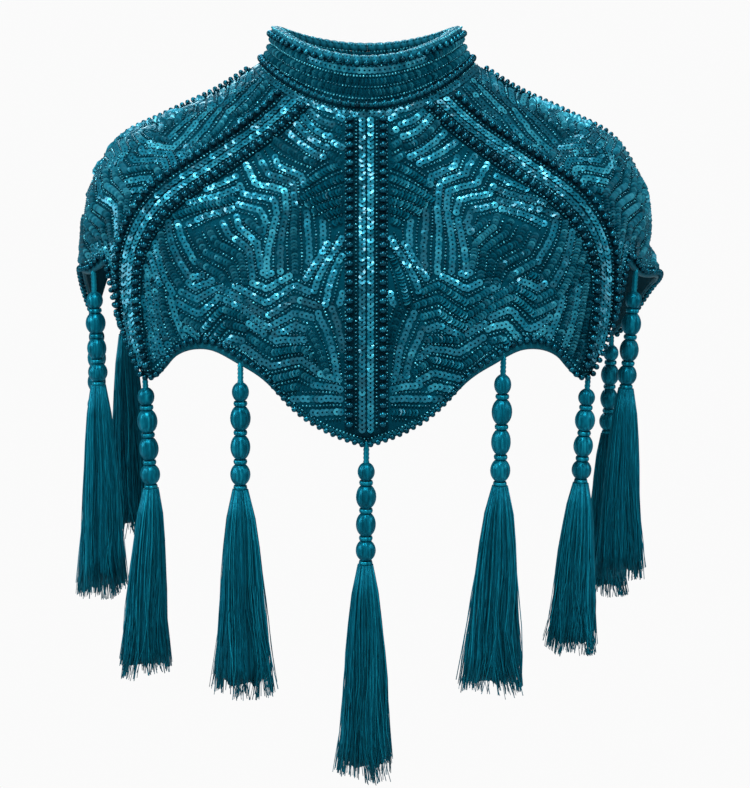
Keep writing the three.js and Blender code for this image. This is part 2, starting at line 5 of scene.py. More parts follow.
import bpy
import numpy as np
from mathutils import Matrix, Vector


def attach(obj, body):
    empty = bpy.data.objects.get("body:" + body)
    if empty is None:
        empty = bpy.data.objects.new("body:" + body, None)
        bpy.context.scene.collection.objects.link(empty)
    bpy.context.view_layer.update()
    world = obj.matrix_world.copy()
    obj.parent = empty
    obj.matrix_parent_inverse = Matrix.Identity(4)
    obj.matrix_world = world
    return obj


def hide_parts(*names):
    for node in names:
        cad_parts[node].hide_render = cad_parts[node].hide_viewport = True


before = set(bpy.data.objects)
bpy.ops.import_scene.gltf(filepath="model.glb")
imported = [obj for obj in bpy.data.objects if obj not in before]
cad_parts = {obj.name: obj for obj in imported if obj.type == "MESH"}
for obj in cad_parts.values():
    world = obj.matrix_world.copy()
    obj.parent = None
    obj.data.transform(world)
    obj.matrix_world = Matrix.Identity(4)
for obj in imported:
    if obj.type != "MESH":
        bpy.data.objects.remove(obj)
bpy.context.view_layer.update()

# The view: level with the collar, 1.44 m in front of it, looking a little down. The long lens
# keeps the tassels upright, as in the photograph.
camera_data = bpy.data.cameras.new("camera")
camera_data.lens = 88
camera_data.clip_end = 60
camera = bpy.data.objects.new("camera", camera_data)
camera.location = (0.006, -1.44, 0.02)
looked_at = Vector((0.006, 0, -0.25))
camera.rotation_euler = (looked_at - camera.location).to_track_quat("-Z", "Y").to_euler()
bpy.context.scene.collection.objects.link(camera)
bpy.context.scene.camera = camera


# The gores: panels of net on a backing cloth, cut flared, joined at seven seams and parted at
# the centre back. The form is a set of level rings, 40 mm further down the cloth each, and a
# place on it is how far down the cloth it lies and its angle from the front, towards +X.
def named_rows(names, *rows):
    """A table whose columns are named once. Each row becomes a dict."""
    return [dict(zip(names.split(), row)) for row in rows]


RING_STEP = 40
RINGS = named_rows(
    "side front back side_z front_z back_z square crest",
    (74, 71, 66, 0, -29, -8, 2, 2),
    (109, 86, 82, -22.5, -65, -46, 2.05, 2.2),
    (148, 99, 95, -40.5, -102, -84, 2.2, 2.4),
    (183, 112, 109, -58.5, -140, -115, 2.4, 2.5),
    (203.5, 122, 119, -91, -178, -151, 2.5, 2.4),
    (208, 129, 125, -131, -217, -188, 2.55, 2.2),
    (210, 134, 127, -170, -256, -226, 2.4, 2.1),
    (208, 135, 126, -210, -295, -265, 2.3, 2),
)
FOLDS = named_rows(
    "at spread start full push",
    (84, 11, 198, 238, 9), (22, 12, 130, 200, 2.5), (337, 12, 130, 200, 2.5),
    (280, 12, 150, 215, 2), (132, 14, 140, 205, 3), (226, 14, 140, 205, 3),
)
FOLD_SPLAY = 1.6  # a fold swings this much more to the front or back than its place does
CREASES = named_rows(
    "at along width length depth",
    (30, 215, 5, 42, -1.3), (14, 150, 6, 60, 0.9), (62, 120, 7, 50, -1.4),
    (70, 190, 5, 45, -1.2), (92, 70, 8, 40, 1.0), (110, 205, 6, 50, -1.5),
    (141, 160, 8, 60, 1.2), (168, 130, 6, 55, -1.1), (189, 150, 6, 60, -1.3),
    (216, 120, 7, 45, 1.1), (247, 200, 6, 48, -1.4), (268, 75, 8, 42, -1.0),
    (287, 185, 5, 50, 1.3), (299, 120, 7, 52, -1.2), (331, 210, 5, 44, -1.4),
    (347, 150, 6, 55, 0.8),
)
CREASE_LEAN = 0.05  # degrees that a crease turns in each millimetre down
SEAMS = named_rows(
    "name neck body hem reach",
    ("front", 0, 0, 0, 245),
    ("slant_left", 37, 51, 45, 245),
    ("shoulder_left", 97, 100, 114, 276),
    ("rear_left", 154, 154, 154, 258),
    ("rear_right", 206, 206, 206, 258),
    ("shoulder_right", 263, 260, 263, 262),
    ("slant_right", 323, 309, 315, 245),
    ("centre_back", 180, 180, 180, 196),
)
BODY_SHARE = 0.6
HEM_DROPS = dict(
    front=[1, 0.83, 0.58, 0.21, 0.06, 0, 0.1, 0.31, 0.61, 0.86, 1],
    side=[1, 0.42, 0, 0.1, 0.24, 0.33, 0.39, 0.47, 0.62, 0.83, 1],
    rear=[1, 0.72, 0.38, 0.1, 0, 0.05, 0.17, 0.36, 0.6, 0.85, 1],
    back=[1, 0.94, 0.84, 0.71, 0.56, 0.42, 0.28, 0.16, 0.07, 0.02, 0],
)
GORES = named_rows(
    "name shape start end arch top",
    ("front_left", "front", "front", "slant_left", 192, 0.5),
    ("side_left", "side", "slant_left", "shoulder_left", 190, 0.2),
    ("rear_left", "rear", "shoulder_left", "rear_left", 190, 0.4),
    ("back_left", "back", "rear_left", "centre_back", 196, 1),
    ("back_right", "back", "rear_right", "centre_back", 196, 1),
    ("rear_right", "rear", "shoulder_right", "rear_right", 190, 0.4),
    ("side_right", "side", "slant_right", "shoulder_right", 190, 0.2),
    ("front_right", "front", "front", "slant_right", 192, 0.5),
)
CLOTH = 1.8
SEAM_GAP = 0.3
GORE_COLUMNS = 25
GORE_ROWS = 38
LEVELS = np.arange(0, 300, 20.0)  # where down the cloth the gores are measured across
WIDEST_TURN = 60
HALVINGS = 22
CLOTH_TINT = (0.05, 0.7, 1, 1)
MILLIMETRE = 0.001


def smooth_between(values, position):
    values = np.asarray(values, float)
    last = len(values) - 1
    index = np.clip(np.floor(position).astype(int), 0, last - 1)
    t = position - index
    p1 = values[index]
    p2 = values[index + 1]
    p0 = np.where(index > 0, values[np.maximum(index - 1, 0)], 2 * p1 - p2)
    p3 = np.where(index + 2 <= last, values[np.minimum(index + 2, last)], 2 * p2 - p1)
    bend = (2 * p0 - 5 * p1 + 4 * p2 - p3) * t**2
    twist = (3 * p1 - p0 - 3 * p2 + p3) * t**3
    return 0.5 * (2 * p1 + (p2 - p0) * t + bend + twist)


def blend_ring(rings, position):
    return {key: smooth_between([ring[key] for ring in rings], position) for key in rings[0]}


def on_ring(ring, degrees):
    across = np.sin(np.radians(degrees))
    ahead = np.cos(np.radians(degrees))
    power = 2 / ring["square"]
    depth = np.where(ahead > 0, ring["front"], ring["back"])
    middle_z = np.where(ahead > 0, ring["front_z"], ring["back_z"])
    x = ring["side"] * np.sign(across) * np.abs(across) ** power
    y = -depth * np.sign(ahead) * np.abs(ahead) ** power
    z = middle_z + (ring["side_z"] - middle_z) * np.abs(across) ** ring["crest"]
    return np.stack([x, y, z], -1)


def turned_from(degrees, at):
    return (degrees - at + 180) % 360 - 180


def relief(along, degrees):
    """How far the cloth stands out of its plain form: the large folds, then the small creases."""
    height = np.zeros(np.shape(along))
    for fold in FOLDS:
        grown = np.clip((along - fold["start"]) / (fold["full"] - fold["start"]), 0, 1)
        grown = grown * grown * (3 - 2 * grown)
        away = turned_from(degrees, fold["at"]) / fold["spread"]
        height = height + fold["push"] * grown * np.exp(-(away**2))
    for crease in CREASES:
        lean = CREASE_LEAN * (along - crease["along"])
        away = (turned_from(degrees, crease["at"]) - lean) / crease["width"]
        below = (along - crease["along"]) / crease["length"]
        height = height + crease["depth"] * np.exp(-(away**2) - below**2)
    return height


def unit(vectors):
    return vectors / np.maximum(np.linalg.norm(vectors, axis=-1, keepdims=True), 1e-12)


def cloth_point(along, degrees):
    along, degrees = np.broadcast_arrays(np.asarray(along, float), np.asarray(degrees, float))
    point = on_ring(blend_ring(RINGS, along / RING_STEP), degrees)
    return point + unit(point * (1, FOLD_SPLAY, 0)) * relief(along, degrees)[..., None]


def cloth_normal(along, degrees):
    """The way up from the cloth, from places 1.5 mm and 0.7 degrees to each side."""
    down = cloth_point(along + 1.5, degrees) - cloth_point(along - 1.5, degrees)
    around = cloth_point(along, degrees + 0.7) - cloth_point(along, degrees - 0.7)
    return unit(np.cross(down, around))


def lifted(along, degrees, height):
    return cloth_point(along, degrees) + cloth_normal(along, degrees) * height


def angle_across(along, degrees, distance):
    """The angle a distance around the body from another one, at its level, found by halving."""
    start = cloth_point(along, degrees)
    near = np.zeros(np.shape(start)[:-1])
    far = near + WIDEST_TURN
    way = np.sign(distance)
    for _ in range(HALVINGS):
        middle = (near + far) / 2
        reached = np.linalg.norm(cloth_point(along, degrees + way * middle) - start, axis=-1)
        short = reached < np.abs(distance)
        near = np.where(short, middle, near)
        far = np.where(short, far, middle)
    return degrees + way * near


def row_named(rows, name):
    return next(row for row in rows if row["name"] == name)


def seam_angle(seam, along):
    share = np.clip(np.asarray(along, float) / seam["reach"], 0, 1)
    rising = np.sin(math.pi / 2 * np.minimum(1, share / BODY_SHARE))
    falling = np.maximum(0, (share - BODY_SHARE) / (1 - BODY_SHARE)) ** 2
    to_body = (seam["body"] - seam["neck"]) * rising
    return seam["neck"] + to_body + (seam["hem"] - seam["body"]) * falling


def turning_way(gore):
    """1 where a gore's shares grow towards +X from the front, and -1 on the other side."""
    return -1 if gore["name"].endswith("right") else 1


def gore_edges(gore, along):
    """A gore's two seam angles. One on the wearer's right counts on past the front."""
    angles = [seam_angle(row_named(SEAMS, gore[key]), along) for key in ("start", "end")]
    if turning_way(gore) < 0:
        angles = [np.where(angle < 90, angle + 360, angle) for angle in angles]
    return angles


def gore_angle(gore, share, along):
    start, end = gore_edges(gore, along)
    return start + (end - start) * share


def hem_drop(gore, share):
    position = np.clip(share, 0, 1) * (len(HEM_DROPS[gore["shape"]]) - 1)
    return np.maximum(0, smooth_between(HEM_DROPS[gore["shape"]], position))


def hem_reach(gore, share):
    tips = [row_named(SEAMS, gore[key])["reach"] for key in ("start", "end")]
    tip = np.where(share < gore["top"], tips[0], tips[1])
    return gore["arch"] + (tip - gore["arch"]) * hem_drop(gore, share)


def gore_width(gore, along):
    """The width of a gore around the body, at each of some levels."""
    if "widths" not in gore:
        shares = np.linspace(0, 1, GORE_COLUMNS)
        grid = cloth_point(LEVELS[:, None], gore_angle(gore, shares[None], LEVELS[:, None]))
        gore["widths"] = np.linalg.norm(np.diff(grid, axis=1), axis=-1).sum(1)
    return np.interp(along, LEVELS, gore["widths"])


def select_only(*chosen):
    if bpy.context.object and bpy.context.object.mode != "OBJECT":
        bpy.ops.object.mode_set(mode="OBJECT")
    bpy.ops.object.select_all(action="DESELECT")
    for item in chosen:
        item.select_set(True)
    bpy.context.view_layer.objects.active = chosen[0]


def cloth_piece(name, grid, run, cloths, thickness, node):
    """A piece of cloth from a grid of points, [column, row], and how far each lies across and
    down the cut piece, which is its UV map in metres. It is thickened inwards, with its second
    cloth inside, and the solid that it dresses is hidden."""
    columns, rows = grid.shape[:2]
    numbers = np.arange(columns * rows).reshape(columns, rows)
    sides = [numbers[:-1, :-1], numbers[:-1, 1:], numbers[1:, 1:], numbers[1:, :-1]]
    faces = np.stack(sides, -1).reshape(-1, 4)
    points = grid.reshape(-1, 3)
    corner = points[faces[:, :3]]
    facing = np.cross(corner[:, 1] - corner[:, 0], corner[:, 2] - corner[:, 1])
    if (facing * (points.mean(0) * (1, 1, 0) + (0, 0, 1))).sum() < 0:
        faces = faces[:, ::-1]
    mesh = bpy.data.meshes.new(name)
    mesh.from_pydata((points * MILLIMETRE).tolist(), [], faces.tolist())
    layer = mesh.uv_layers.new(name="cut")
    loops = np.empty(len(mesh.loops), np.int32)
    mesh.loops.foreach_get("vertex_index", loops)
    layer.data.foreach_set("uv", (run.reshape(-1, 2)[loops] * MILLIMETRE).ravel())
    mesh.polygons.foreach_set("use_smooth", np.ones(len(mesh.polygons), bool))
    for cloth in cloths:
        mesh.materials.append(cloth)
    piece = bpy.data.objects.new(name, mesh)
    bpy.context.scene.collection.objects.link(piece)
    wall = piece.modifiers.new("thickness", "SOLIDIFY")
    wall.thickness = thickness * MILLIMETRE
    wall.offset = -1
    wall.material_offset = 1
    wall.material_offset_rim = 1
    select_only(piece)
    bpy.ops.object.modifier_apply(modifier=wall.name)
    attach(piece, "root")
    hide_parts(node)


def set_sockets(node, **values):
    """Sets a node's sockets by their names, in which _ stands for a space."""
    for name, value in values.items():
        node.inputs[name.replace("_", " ")].default_value = value
    return node


def new_node(tree, kind, **values):
    return set_sockets(tree.nodes.new(f"ShaderNode{kind}"), **values)


def wire(tree, source, output, target, socket):
    tree.links.new(source.outputs[output], target.inputs[socket])


def new_finish(name, **values):
    """A new material, its nodes, and its shader with values set on its sockets."""
    finish = bpy.data.materials.new(name)
    finish.use_nodes = True
    tree = finish.node_tree
    return finish, tree, set_sockets(tree.nodes["Principled BSDF"], **values)


def tone_scale(tree, tones):
    """A scale of colours, each at its own place between 0 and 1."""
    scale = new_node(tree, "ValToRGB")
    for position, colour in tones[1:-1]:
        scale.color_ramp.elements.new(position)
    for element, (position, colour) in zip(scale.color_ramp.elements, tones):
        element.position = position
        element.color = (*colour, 1)
    return scale


# The weave that the cloths share: threads over and under, from a place in metres.
weave = bpy.data.node_groups.new("weave", "ShaderNodeTree")
weave.interface.new_socket("Place", in_out="INPUT", socket_type="NodeSocketVector")
weave.interface.new_socket("Threads", in_out="INPUT", socket_type="NodeSocketFloat")
weave.interface.new_socket("Height", in_out="OUTPUT", socket_type="NodeSocketFloat")
weave_in = weave.nodes.new("NodeGroupInput")
weave_out = weave.nodes.new("NodeGroupOutput")
crossing = new_node(weave, "Math")
crossing.operation = "MULTIPLY"
for order, direction in enumerate("XY"):
    threads = new_node(weave, "TexWave", Distortion=0.6)
    threads.bands_direction = direction
    wire(weave, weave_in, "Place", threads, "Vector")
    wire(weave, weave_in, "Threads", threads, "Scale")
    wire(weave, threads, "Fac", crossing, order)
wire(weave, crossing, "Value", weave_out, "Height")


def cloth_finish(name, dark, light, roughness, threads, blotch):
    """A woven cloth: its two tones in soft blotches, and its weave as relief."""
    finish, tree, shader = new_finish(
        name, Roughness=roughness, Specular_Tint=CLOTH_TINT, Specular_IOR_Level=0.15
    )
    place = new_node(tree, "UVMap")
    place.uv_map = "cut"
    cloud = new_node(tree, "TexNoise", Scale=blotch, Detail=4)
    wire(tree, place, "UV", cloud, "Vector")
    tones = tone_scale(tree, [(0.35, dark), (0.7, light)])
    wire(tree, cloud, "Fac", tones, "Fac")
    wire(tree, tones, "Color", shader, "Base Color")
    woven = new_node(tree, "Group")
    woven.node_tree = weave
    set_sockets(woven, Threads=threads)
    wire(tree, place, "UV", woven, "Place")
    bump = new_node(tree, "Bump", Strength=0.5, Distance=0.0004)
    wire(tree, woven, "Height", bump, "Height")
    wire(tree, bump, "Normal", shader, "Normal")
    return finish


net_cloth = cloth_finish("net_cloth", (0.0003, 0.022, 0.036), (0.0008, 0.06, 0.094), 0.75, 700, 45)
lining_cloth = cloth_finish("lining_cloth", (0.003, 0.045, 0.068), (0.006, 0.07, 0.1), 0.7, 600, 12)
for gore in GORES:
    shares = np.linspace(0, 1, GORE_COLUMNS)
    along = hem_reach(gore, shares)[:, None] * np.linspace(0, 1, GORE_ROWS)[None]
    degrees = gore_angle(gore, shares[:, None], along)
    seam_room = turning_way(gore) * SEAM_GAP / 2
    degrees[0] = angle_across(along[0], degrees[0], seam_room)
    degrees[-1] = angle_across(along[-1], degrees[-1], -seam_room)
    across = (shares[:, None] - 0.5) * gore_width(gore, along)
    cloth_piece(
        f"gore_shell_{gore['name']}", cloth_point(along, degrees), np.stack([across, -along], -1),
        (net_cloth, lining_cloth), CLOTH, f"gore_{gore['name']}",
    )


# The embroidery on the gores: rows of cup sequins, about 8 mm apart, with a row of glass seed
# beads between each two, sewn through the net. A panel is worked in patches whose rows run at
# different slopes, some lying flat with their holes showing, some packed on edge.
BAND_WIDTH = 30
ROW_PITCH = 8.2
SEQUIN_RADIUS = 2.55
SEQUIN_HOLE = 0.75
SEQUIN_SIDES = 8
SEQUIN_CUP = 0.16  # how deep it is, for its width
FLAT_PITCH = 3.2
FLAT_HEIGHT = 0.8
PACKED_PITCH = 2.3
PACKED_HEIGHT = 1.8
PACKED_TILT = 52
BEAD_RADIUS = 0.95
BEAD_PITCH = 2.35
ROW_MARGIN = 1  # between a row's end and a band's edge
OPENING_MARGIN = 4
HEM_MARGIN = 7.5
NECK_MARGIN = 11
NECK_SEQUINS = 8.2
NECK_BEADS = 5.4
LOOSE_TRIES = 420
LOOSE_SEQUIN_ROOM = 4.3
LOOSE_BEAD_ROOM = 2.7
PATCH_ROWS = 8
PATCH_REACH = 68
ROW_WAVE = 2
ZIGZAG_LENGTH = 38
LEAST_RUN = 5
SHARE_STEPS = 40
# A patch's middle lies at a share of the gore's width and so far down it. turn is how steeply
# its rows rise towards the second seam, bow how they curve, packed the share of rows on edge,
# and zigzag how far they run up and down.
FRONT_PATCHES = named_rows(
    "share along turn bow packed zigzag",
    (0.12, 30, 35, 0.004, 0.5, 0),
    (0.55, 32, 12, -0.006, 0.3, 0),
    (0.2, 66, -25, 0.012, 0.8, 0),
    (0.6, 74, 20, 0.003, 0.4, 4),
    (0.85, 98, -58, 0, 0.3, 0),
    (0.33, 104, 76, 0.003, 0.15, 0),
    (0.12, 122, -72, 0, 0.3, 0),
    (0.6, 122, 28, 0.004, 0.75, 3),
    (0.84, 143, 38, 0, 0.35, 0),
    (0.33, 150, -8, 0, 0.35, 5),
    (0.6, 163, -22, 0, 0.2, 5),
    (0.1, 172, 74, 0, 0.1, 0),
    (0.3, 190, 10, 0, 0.15, 4),
    (0.86, 192, 70, 0, 0.4, 0),
    (0.16, 222, 4, 0, 0.1, 0),
)
SIDE_PATCHES = named_rows(
    "share along turn bow packed zigzag",
    (0.3, 26, 82, 0, 0.1, 0),
    (0.75, 30, 8, 0.006, 0.3, 0),
    (0.3, 66, 66, 0.003, 0.35, 0),
    (0.72, 74, -12, 0.004, 0.6, 5),
    (0.28, 108, -20, 0, 0.25, 5),
    (0.55, 116, 20, 0, 0.2, 5),
    (0.82, 122, -32, 0, 0.2, 0),
    (0.3, 150, 16, 0.004, 0.7, 4),
    (0.62, 160, -16, 0, 0.3, 5),
    (0.88, 176, 30, 0, 0.4, 0),
    (0.12, 196, 62, 0, 0.3, 0),
    (0.6, 204, 12, 0, 0.6, 0),
    (0.92, 232, -12, 0, 0.3, 0),
)
PATCHES = dict(front=FRONT_PATCHES, side=SIDE_PATCHES, rear=SIDE_PATCHES, back=FRONT_PATCHES)
rng = np.random.default_rng(7)


def drawn_tones(middle, spread, count):
    return np.clip(rng.normal(middle, spread, count), 0, 1)


def taken_apart(thing):
    """A modelled thing's points, in millimetres, its faces' corners and each face's size."""
    mesh = thing.data
    points = np.array([vertex.co for vertex in mesh.vertices]) / MILLIMETRE
    corners = np.concatenate([np.array(face.vertices) for face in mesh.polygons])
    sizes = np.array([len(face.vertices) for face in mesh.polygons])
    bpy.data.objects.remove(thing)
    bpy.data.meshes.remove(mesh)
    return points, corners, sizes


def in_edit_mode(thing):
    select_only(thing)
    bpy.ops.object.mode_set(mode="EDIT")
    bpy.ops.mesh.select_all(action="SELECT")


def applied(thing):
    bpy.ops.object.mode_set(mode="OBJECT")
    bpy.ops.object.transform_apply(location=True, rotation=True, scale=True)
    return thing


def modelled_sequin():
    """A round sequin with its hole, a shallow cup of three faces to each side."""
    bpy.ops.object.select_all(action="DESELECT")
    ring = (SEQUIN_RADIUS - SEQUIN_HOLE) * 2 / 3
    bpy.ops.mesh.primitive_torus_add(
        major_segments=SEQUIN_SIDES, minor_segments=3,
        major_radius=(SEQUIN_RADIUS - ring) * MILLIMETRE, minor_radius=ring * MILLIMETRE,
    )
    sequin = bpy.context.object
    in_edit_mode(sequin)
    bpy.ops.transform.resize(value=(1, 1, SEQUIN_CUP))
    return taken_apart(applied(sequin))


def modelled_bead(radius, finer):
    """A round bead, a little flattened where its thread goes through."""
    bpy.ops.object.select_all(action="DESELECT")
    bpy.ops.mesh.primitive_ico_sphere_add(subdivisions=2 if finer else 1, radius=radius * MILLIMETRE)
    bead = bpy.context.object
    in_edit_mode(bead)
    bpy.ops.transform.resize(value=(0.88 if finer else 0.8, 1, 1))
    return taken_apart(applied(bead))


def sewn_copies(model, at, ahead, up, tone, size=None):
    """Copies of a small model, each at a place with the way its row runs and its way up."""
    points, corners, sizes = model
    side = np.cross(up, ahead)
    size = np.ones((len(at), 3)) if size is None else size
    placed = at[:, None]
    for axis, ways in enumerate((ahead, side, up)):
        placed = placed + points[None, :, axis, None] * (ways * size[:, axis, None])[:, None]
    shift = np.arange(len(at))[:, None] * len(points)
    return dict(
        points=placed.reshape(-1, 3),
        corners=(corners[None] + shift).ravel(),
        sizes=np.tile(sizes, len(at)),
        tone=np.repeat(tone, len(points)),
    )


def joined_piece(name, parts, finish, smooth=True):
    """One piece of all these copies, riding on the garment."""
    first = 0
    corners = []
    for part in parts:
        corners.append(part["corners"] + first)
        first += len(part["points"])
    points = np.concatenate([part["points"] for part in parts]) * MILLIMETRE
    corners = np.concatenate(corners)
    sizes = np.concatenate([part["sizes"] for part in parts])
    mesh = bpy.data.meshes.new(name)
    mesh.vertices.add(len(points))
    mesh.vertices.foreach_set("co", points.ravel())
    mesh.loops.add(len(corners))
    mesh.loops.foreach_set("vertex_index", corners.astype(np.int32))
    mesh.polygons.add(len(sizes))
    mesh.polygons.foreach_set("loop_start", (np.cumsum(sizes) - sizes).astype(np.int32))
    mesh.polygons.foreach_set("use_smooth", np.full(len(sizes), smooth))
    tone = mesh.attributes.new("tone", "FLOAT", "POINT")
    tone.data.foreach_set("value", np.concatenate([part["tone"] for part in parts]))
    mesh.update(calc_edges=True)
    mesh.validate()
    mesh.materials.append(finish)
    made = bpy.data.objects.new(name, mesh)
    bpy.context.scene.collection.objects.link(made)
    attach(made, "root")
    return made


def toned_finish(name, tones, roughness, metallic, coat, tint=(0.05, 0.75, 1), coat_rough=0.08):
    """A finish whose colour runs along a scale of tones, one for each thing sewn on."""
    finish, tree, shader = new_finish(
        name, Roughness=roughness, Metallic=metallic, Specular_Tint=(*tint, 1),
        Coat_Weight=coat, Coat_Roughness=coat_rough,
    )
    own = new_node(tree, "Attribute")
    own.attribute_name = own.name = "tone"
    scale = tone_scale(tree, tones)
    scale.name = "tone_scale"
    wire(tree, own, "Fac", scale, "Fac")
    wire(tree, scale, "Color", shader, "Base Color")
    return finish


sequin_tones = [(0, (0.0004, 0.06, 0.095)), (0.5, (0.0015, 0.13, 0.2)), (1, (0.03, 0.27, 0.36))]
sequin_gloss = toned_finish("sequin_gloss", sequin_tones, 0.33, 0.36, 0.2, (0.3, 0.8, 0.9))
bead_tones = [(0, (0.0006, 0.035, 0.055)), (0.5, (0.002, 0.12, 0.18)), (1, (0.08, 0.5, 0.62))]
bead_glass = toned_finish("bead_glass", bead_tones, 0.12, 0.3, 0.5, (0.25, 0.8, 1))
sequin = modelled_sequin()
seed_bead = modelled_bead(BEAD_RADIUS, finer=False)


def angle_share(gore, share, along):
    """The share of a gore's angle that lies at a share of its width, which runs unevenly."""
    if "turns" not in gore:
        shares = np.linspace(0, 1, SHARE_STEPS + 1)
        grid = cloth_point(LEVELS[:, None], gore_angle(gore, shares[None], LEVELS[:, None]))
        steps = np.linalg.norm(np.diff(grid, axis=1), axis=-1)
        length = np.concatenate([np.zeros((len(LEVELS), 1)), np.cumsum(steps, 1)], 1)
        gore["turns"] = np.array([np.interp(shares, row / row[-1], shares) for row in length])
    turns = gore["turns"]
    level = np.clip(np.interp(along, LEVELS, range(len(turns))), 0, len(turns) - 1.001)
    column = np.clip(share, 0, 1) * (SHARE_STEPS - 0.001)
    row, part = level.astype(int), level % 1
    near, far = column.astype(int), column % 1
    above = turns[row, near] * (1 - far) + turns[row, near + 1] * far
    below = turns[row + 1, near] * (1 - far) + turns[row + 1, near + 1] * far
    return above * (1 - part) + below * part


def row_runs(gore, patches, offset):
    """The runs of one set of rows on a gore, as places down and around the cloth, 1 mm apart."""
    runs = []
    reach = np.arange(-PATCH_REACH, PATCH_REACH + 1.0)
    away = (np.arange(-PATCH_ROWS, PATCH_ROWS + 1) + offset) * ROW_PITCH
    for patch in patches:
        turn = math.radians(patch["turn"])
        across = away[:, None] + patch["bow"] * reach**2
        across = across + ROW_WAVE * np.sin(reach / 12 + away[:, None] / 9 + 40 * patch["share"])
        turning = np.arcsin(np.sin(2 * math.pi * reach / ZIGZAG_LENGTH)) * 2 / math.pi
        across = across + patch["zigzag"] * turning
        x = reach * math.cos(turn) + across * math.sin(turn)
        along = np.clip(patch["along"] - reach * math.sin(turn) + across * math.cos(turn), 1, 290)
        width = gore_width(gore, along)
        share = patch["share"] + x / width
        nearest = [
            ((share - other["share"]) * width) ** 2 + (along - other["along"]) ** 2
            for other in patches
        ]
        mine = np.argmin(nearest, 0) == patches.index(patch)
        edge = BAND_WIDTH / 2 + ROW_MARGIN
        far_edge = OPENING_MARGIN if gore["end"] == "centre_back" else edge
        inside = (share * width > edge) & ((1 - share) * width > far_edge)
        turned = angle_share(gore, share, along)
        inside &= (along > NECK_MARGIN) & (along < hem_reach(gore, turned) - HEM_MARGIN)
        degrees = gore_angle(gore, turned, along)
        points = cloth_point(along, degrees)
        for row in range(len(away)):
            ends = np.flatnonzero(np.diff(np.concatenate([[0], (mine & inside)[row], [0]])))
            for first, last in zip(ends[::2], ends[1::2]):
                if last - first > LEAST_RUN:
                    here = slice(first, last)
                    runs.append((patch, along[row, here], degrees[row, here], points[row, here]))
    return runs


def spaced_along(run, pitch):
    """Places at an even pitch along a run: down, around, and the way that the row goes on."""
    along, degrees, points = run
    steps = np.linalg.norm(np.diff(points, axis=0), axis=1)
    length = np.concatenate([[0], np.cumsum(steps)])
    count = max(1, round(length[-1] / pitch))
    at = length[-1] / 2 + (np.arange(count) - (count - 1) / 2) * pitch
    ahead = np.gradient(points, axis=0)
    way = np.stack([np.interp(at, length, ahead[:, k]) for k in range(3)], -1)
    return np.interp(at, length, along), np.interp(at, length, degrees), way


def on_cloth(along, degrees, way, height):
    """Where something sewn on lies: its middle, the way its row runs, and its way up."""
    up = cloth_normal(along, degrees)
    ahead = unit(way - up * (way * up).sum(-1, keepdims=True))
    return cloth_point(along, degrees) + up * height, ahead, up


def tipped(ahead, up, pitch, roll):
    """The same frame tipped back along its row and to the side, by angles in degrees."""
    pitch, roll = np.radians(pitch)[:, None], np.radians(roll)[:, None]
    side = np.cross(up, ahead)
    raised = up * np.cos(pitch) - ahead * np.sin(pitch)
    forward = ahead * np.cos(pitch) + up * np.sin(pitch)
    return forward, unit(raised * np.cos(roll) + side * np.sin(roll))


def sewn_sequins(along, degrees, way, packed, tone):
    """A run of sequins packed on edge, or lying flat, a few of them loose and tipped."""
    count = len(along)
    if packed:
        at, ahead, up = on_cloth(along, degrees, way, PACKED_HEIGHT)
        ahead, up = tipped(ahead, up, rng.normal(PACKED_TILT, 6, count), rng.normal(0, 8, count))
        return sewn_copies(sequin, at, ahead, up, tone)
    at, ahead, up = on_cloth(along, degrees, way, FLAT_HEIGHT)
    loose = np.where(rng.random(count) < 0.1, 2.2, 1)
    ahead, up = tipped(ahead, up, rng.normal(9, 5 * loose), rng.normal(0, 7 * loose))
    at = at + rng.normal(0, 0.2, (count, 3))
    return sewn_copies(sequin, at, ahead, up, tone)


def sewn_beads(along, degrees, way, tone, height=BEAD_RADIUS * 0.9):
    at, ahead, up = on_cloth(along, degrees, way, height)
    return sewn_copies(seed_bead, at, ahead, up, tone)


def neck_line(gore, along):
    """A line across a gore near the neck, as places 1 mm apart."""
    width = float(gore_width(gore, along))
    shares = np.linspace(0.01, 0.99, max(8, int(width)))
    levels = np.full(len(shares), float(along))
    degrees = gore_angle(gore, shares, levels)
    return levels, degrees, cloth_point(levels, degrees)


def loose_pieces(gore, taken):
    """Single sequins and beads sewn into the bare corners between the rows."""
    share = rng.random(LOOSE_TRIES)
    along = NECK_MARGIN + rng.random(LOOSE_TRIES) * (gore["arch"] + 50 - NECK_MARGIN)
    turned = angle_share(gore, share, along)
    edge = BAND_WIDTH / 2 + SEQUIN_RADIUS
    across = np.minimum(share, 1 - share) * gore_width(gore, along)
    kept = (across > edge) & (along < hem_reach(gore, turned) - HEM_MARGIN)
    along, degrees = along[kept], gore_angle(gore, turned, along)[kept]
    points = cloth_point(along, degrees)
    chosen = dict(sequin=[], bead=[])
    for order, point in enumerate(points):
        room = np.linalg.norm(taken - point, axis=1).min()
        if room > LOOSE_BEAD_ROOM:
            chosen["sequin" if room > LOOSE_SEQUIN_ROOM else "bead"].append(order)
            taken = np.concatenate([taken, point[None]])
    way = unit(rng.normal(0, 1, (len(points), 3)))
    tone = drawn_tones(0.5, 0.25, len(points))
    some = chosen["sequin"]
    sequins = sewn_sequins(along[some], degrees[some], way[some], False, tone[some])
    some = chosen["bead"]
    return sequins, sewn_beads(along[some], degrees[some], way[some], tone[some])


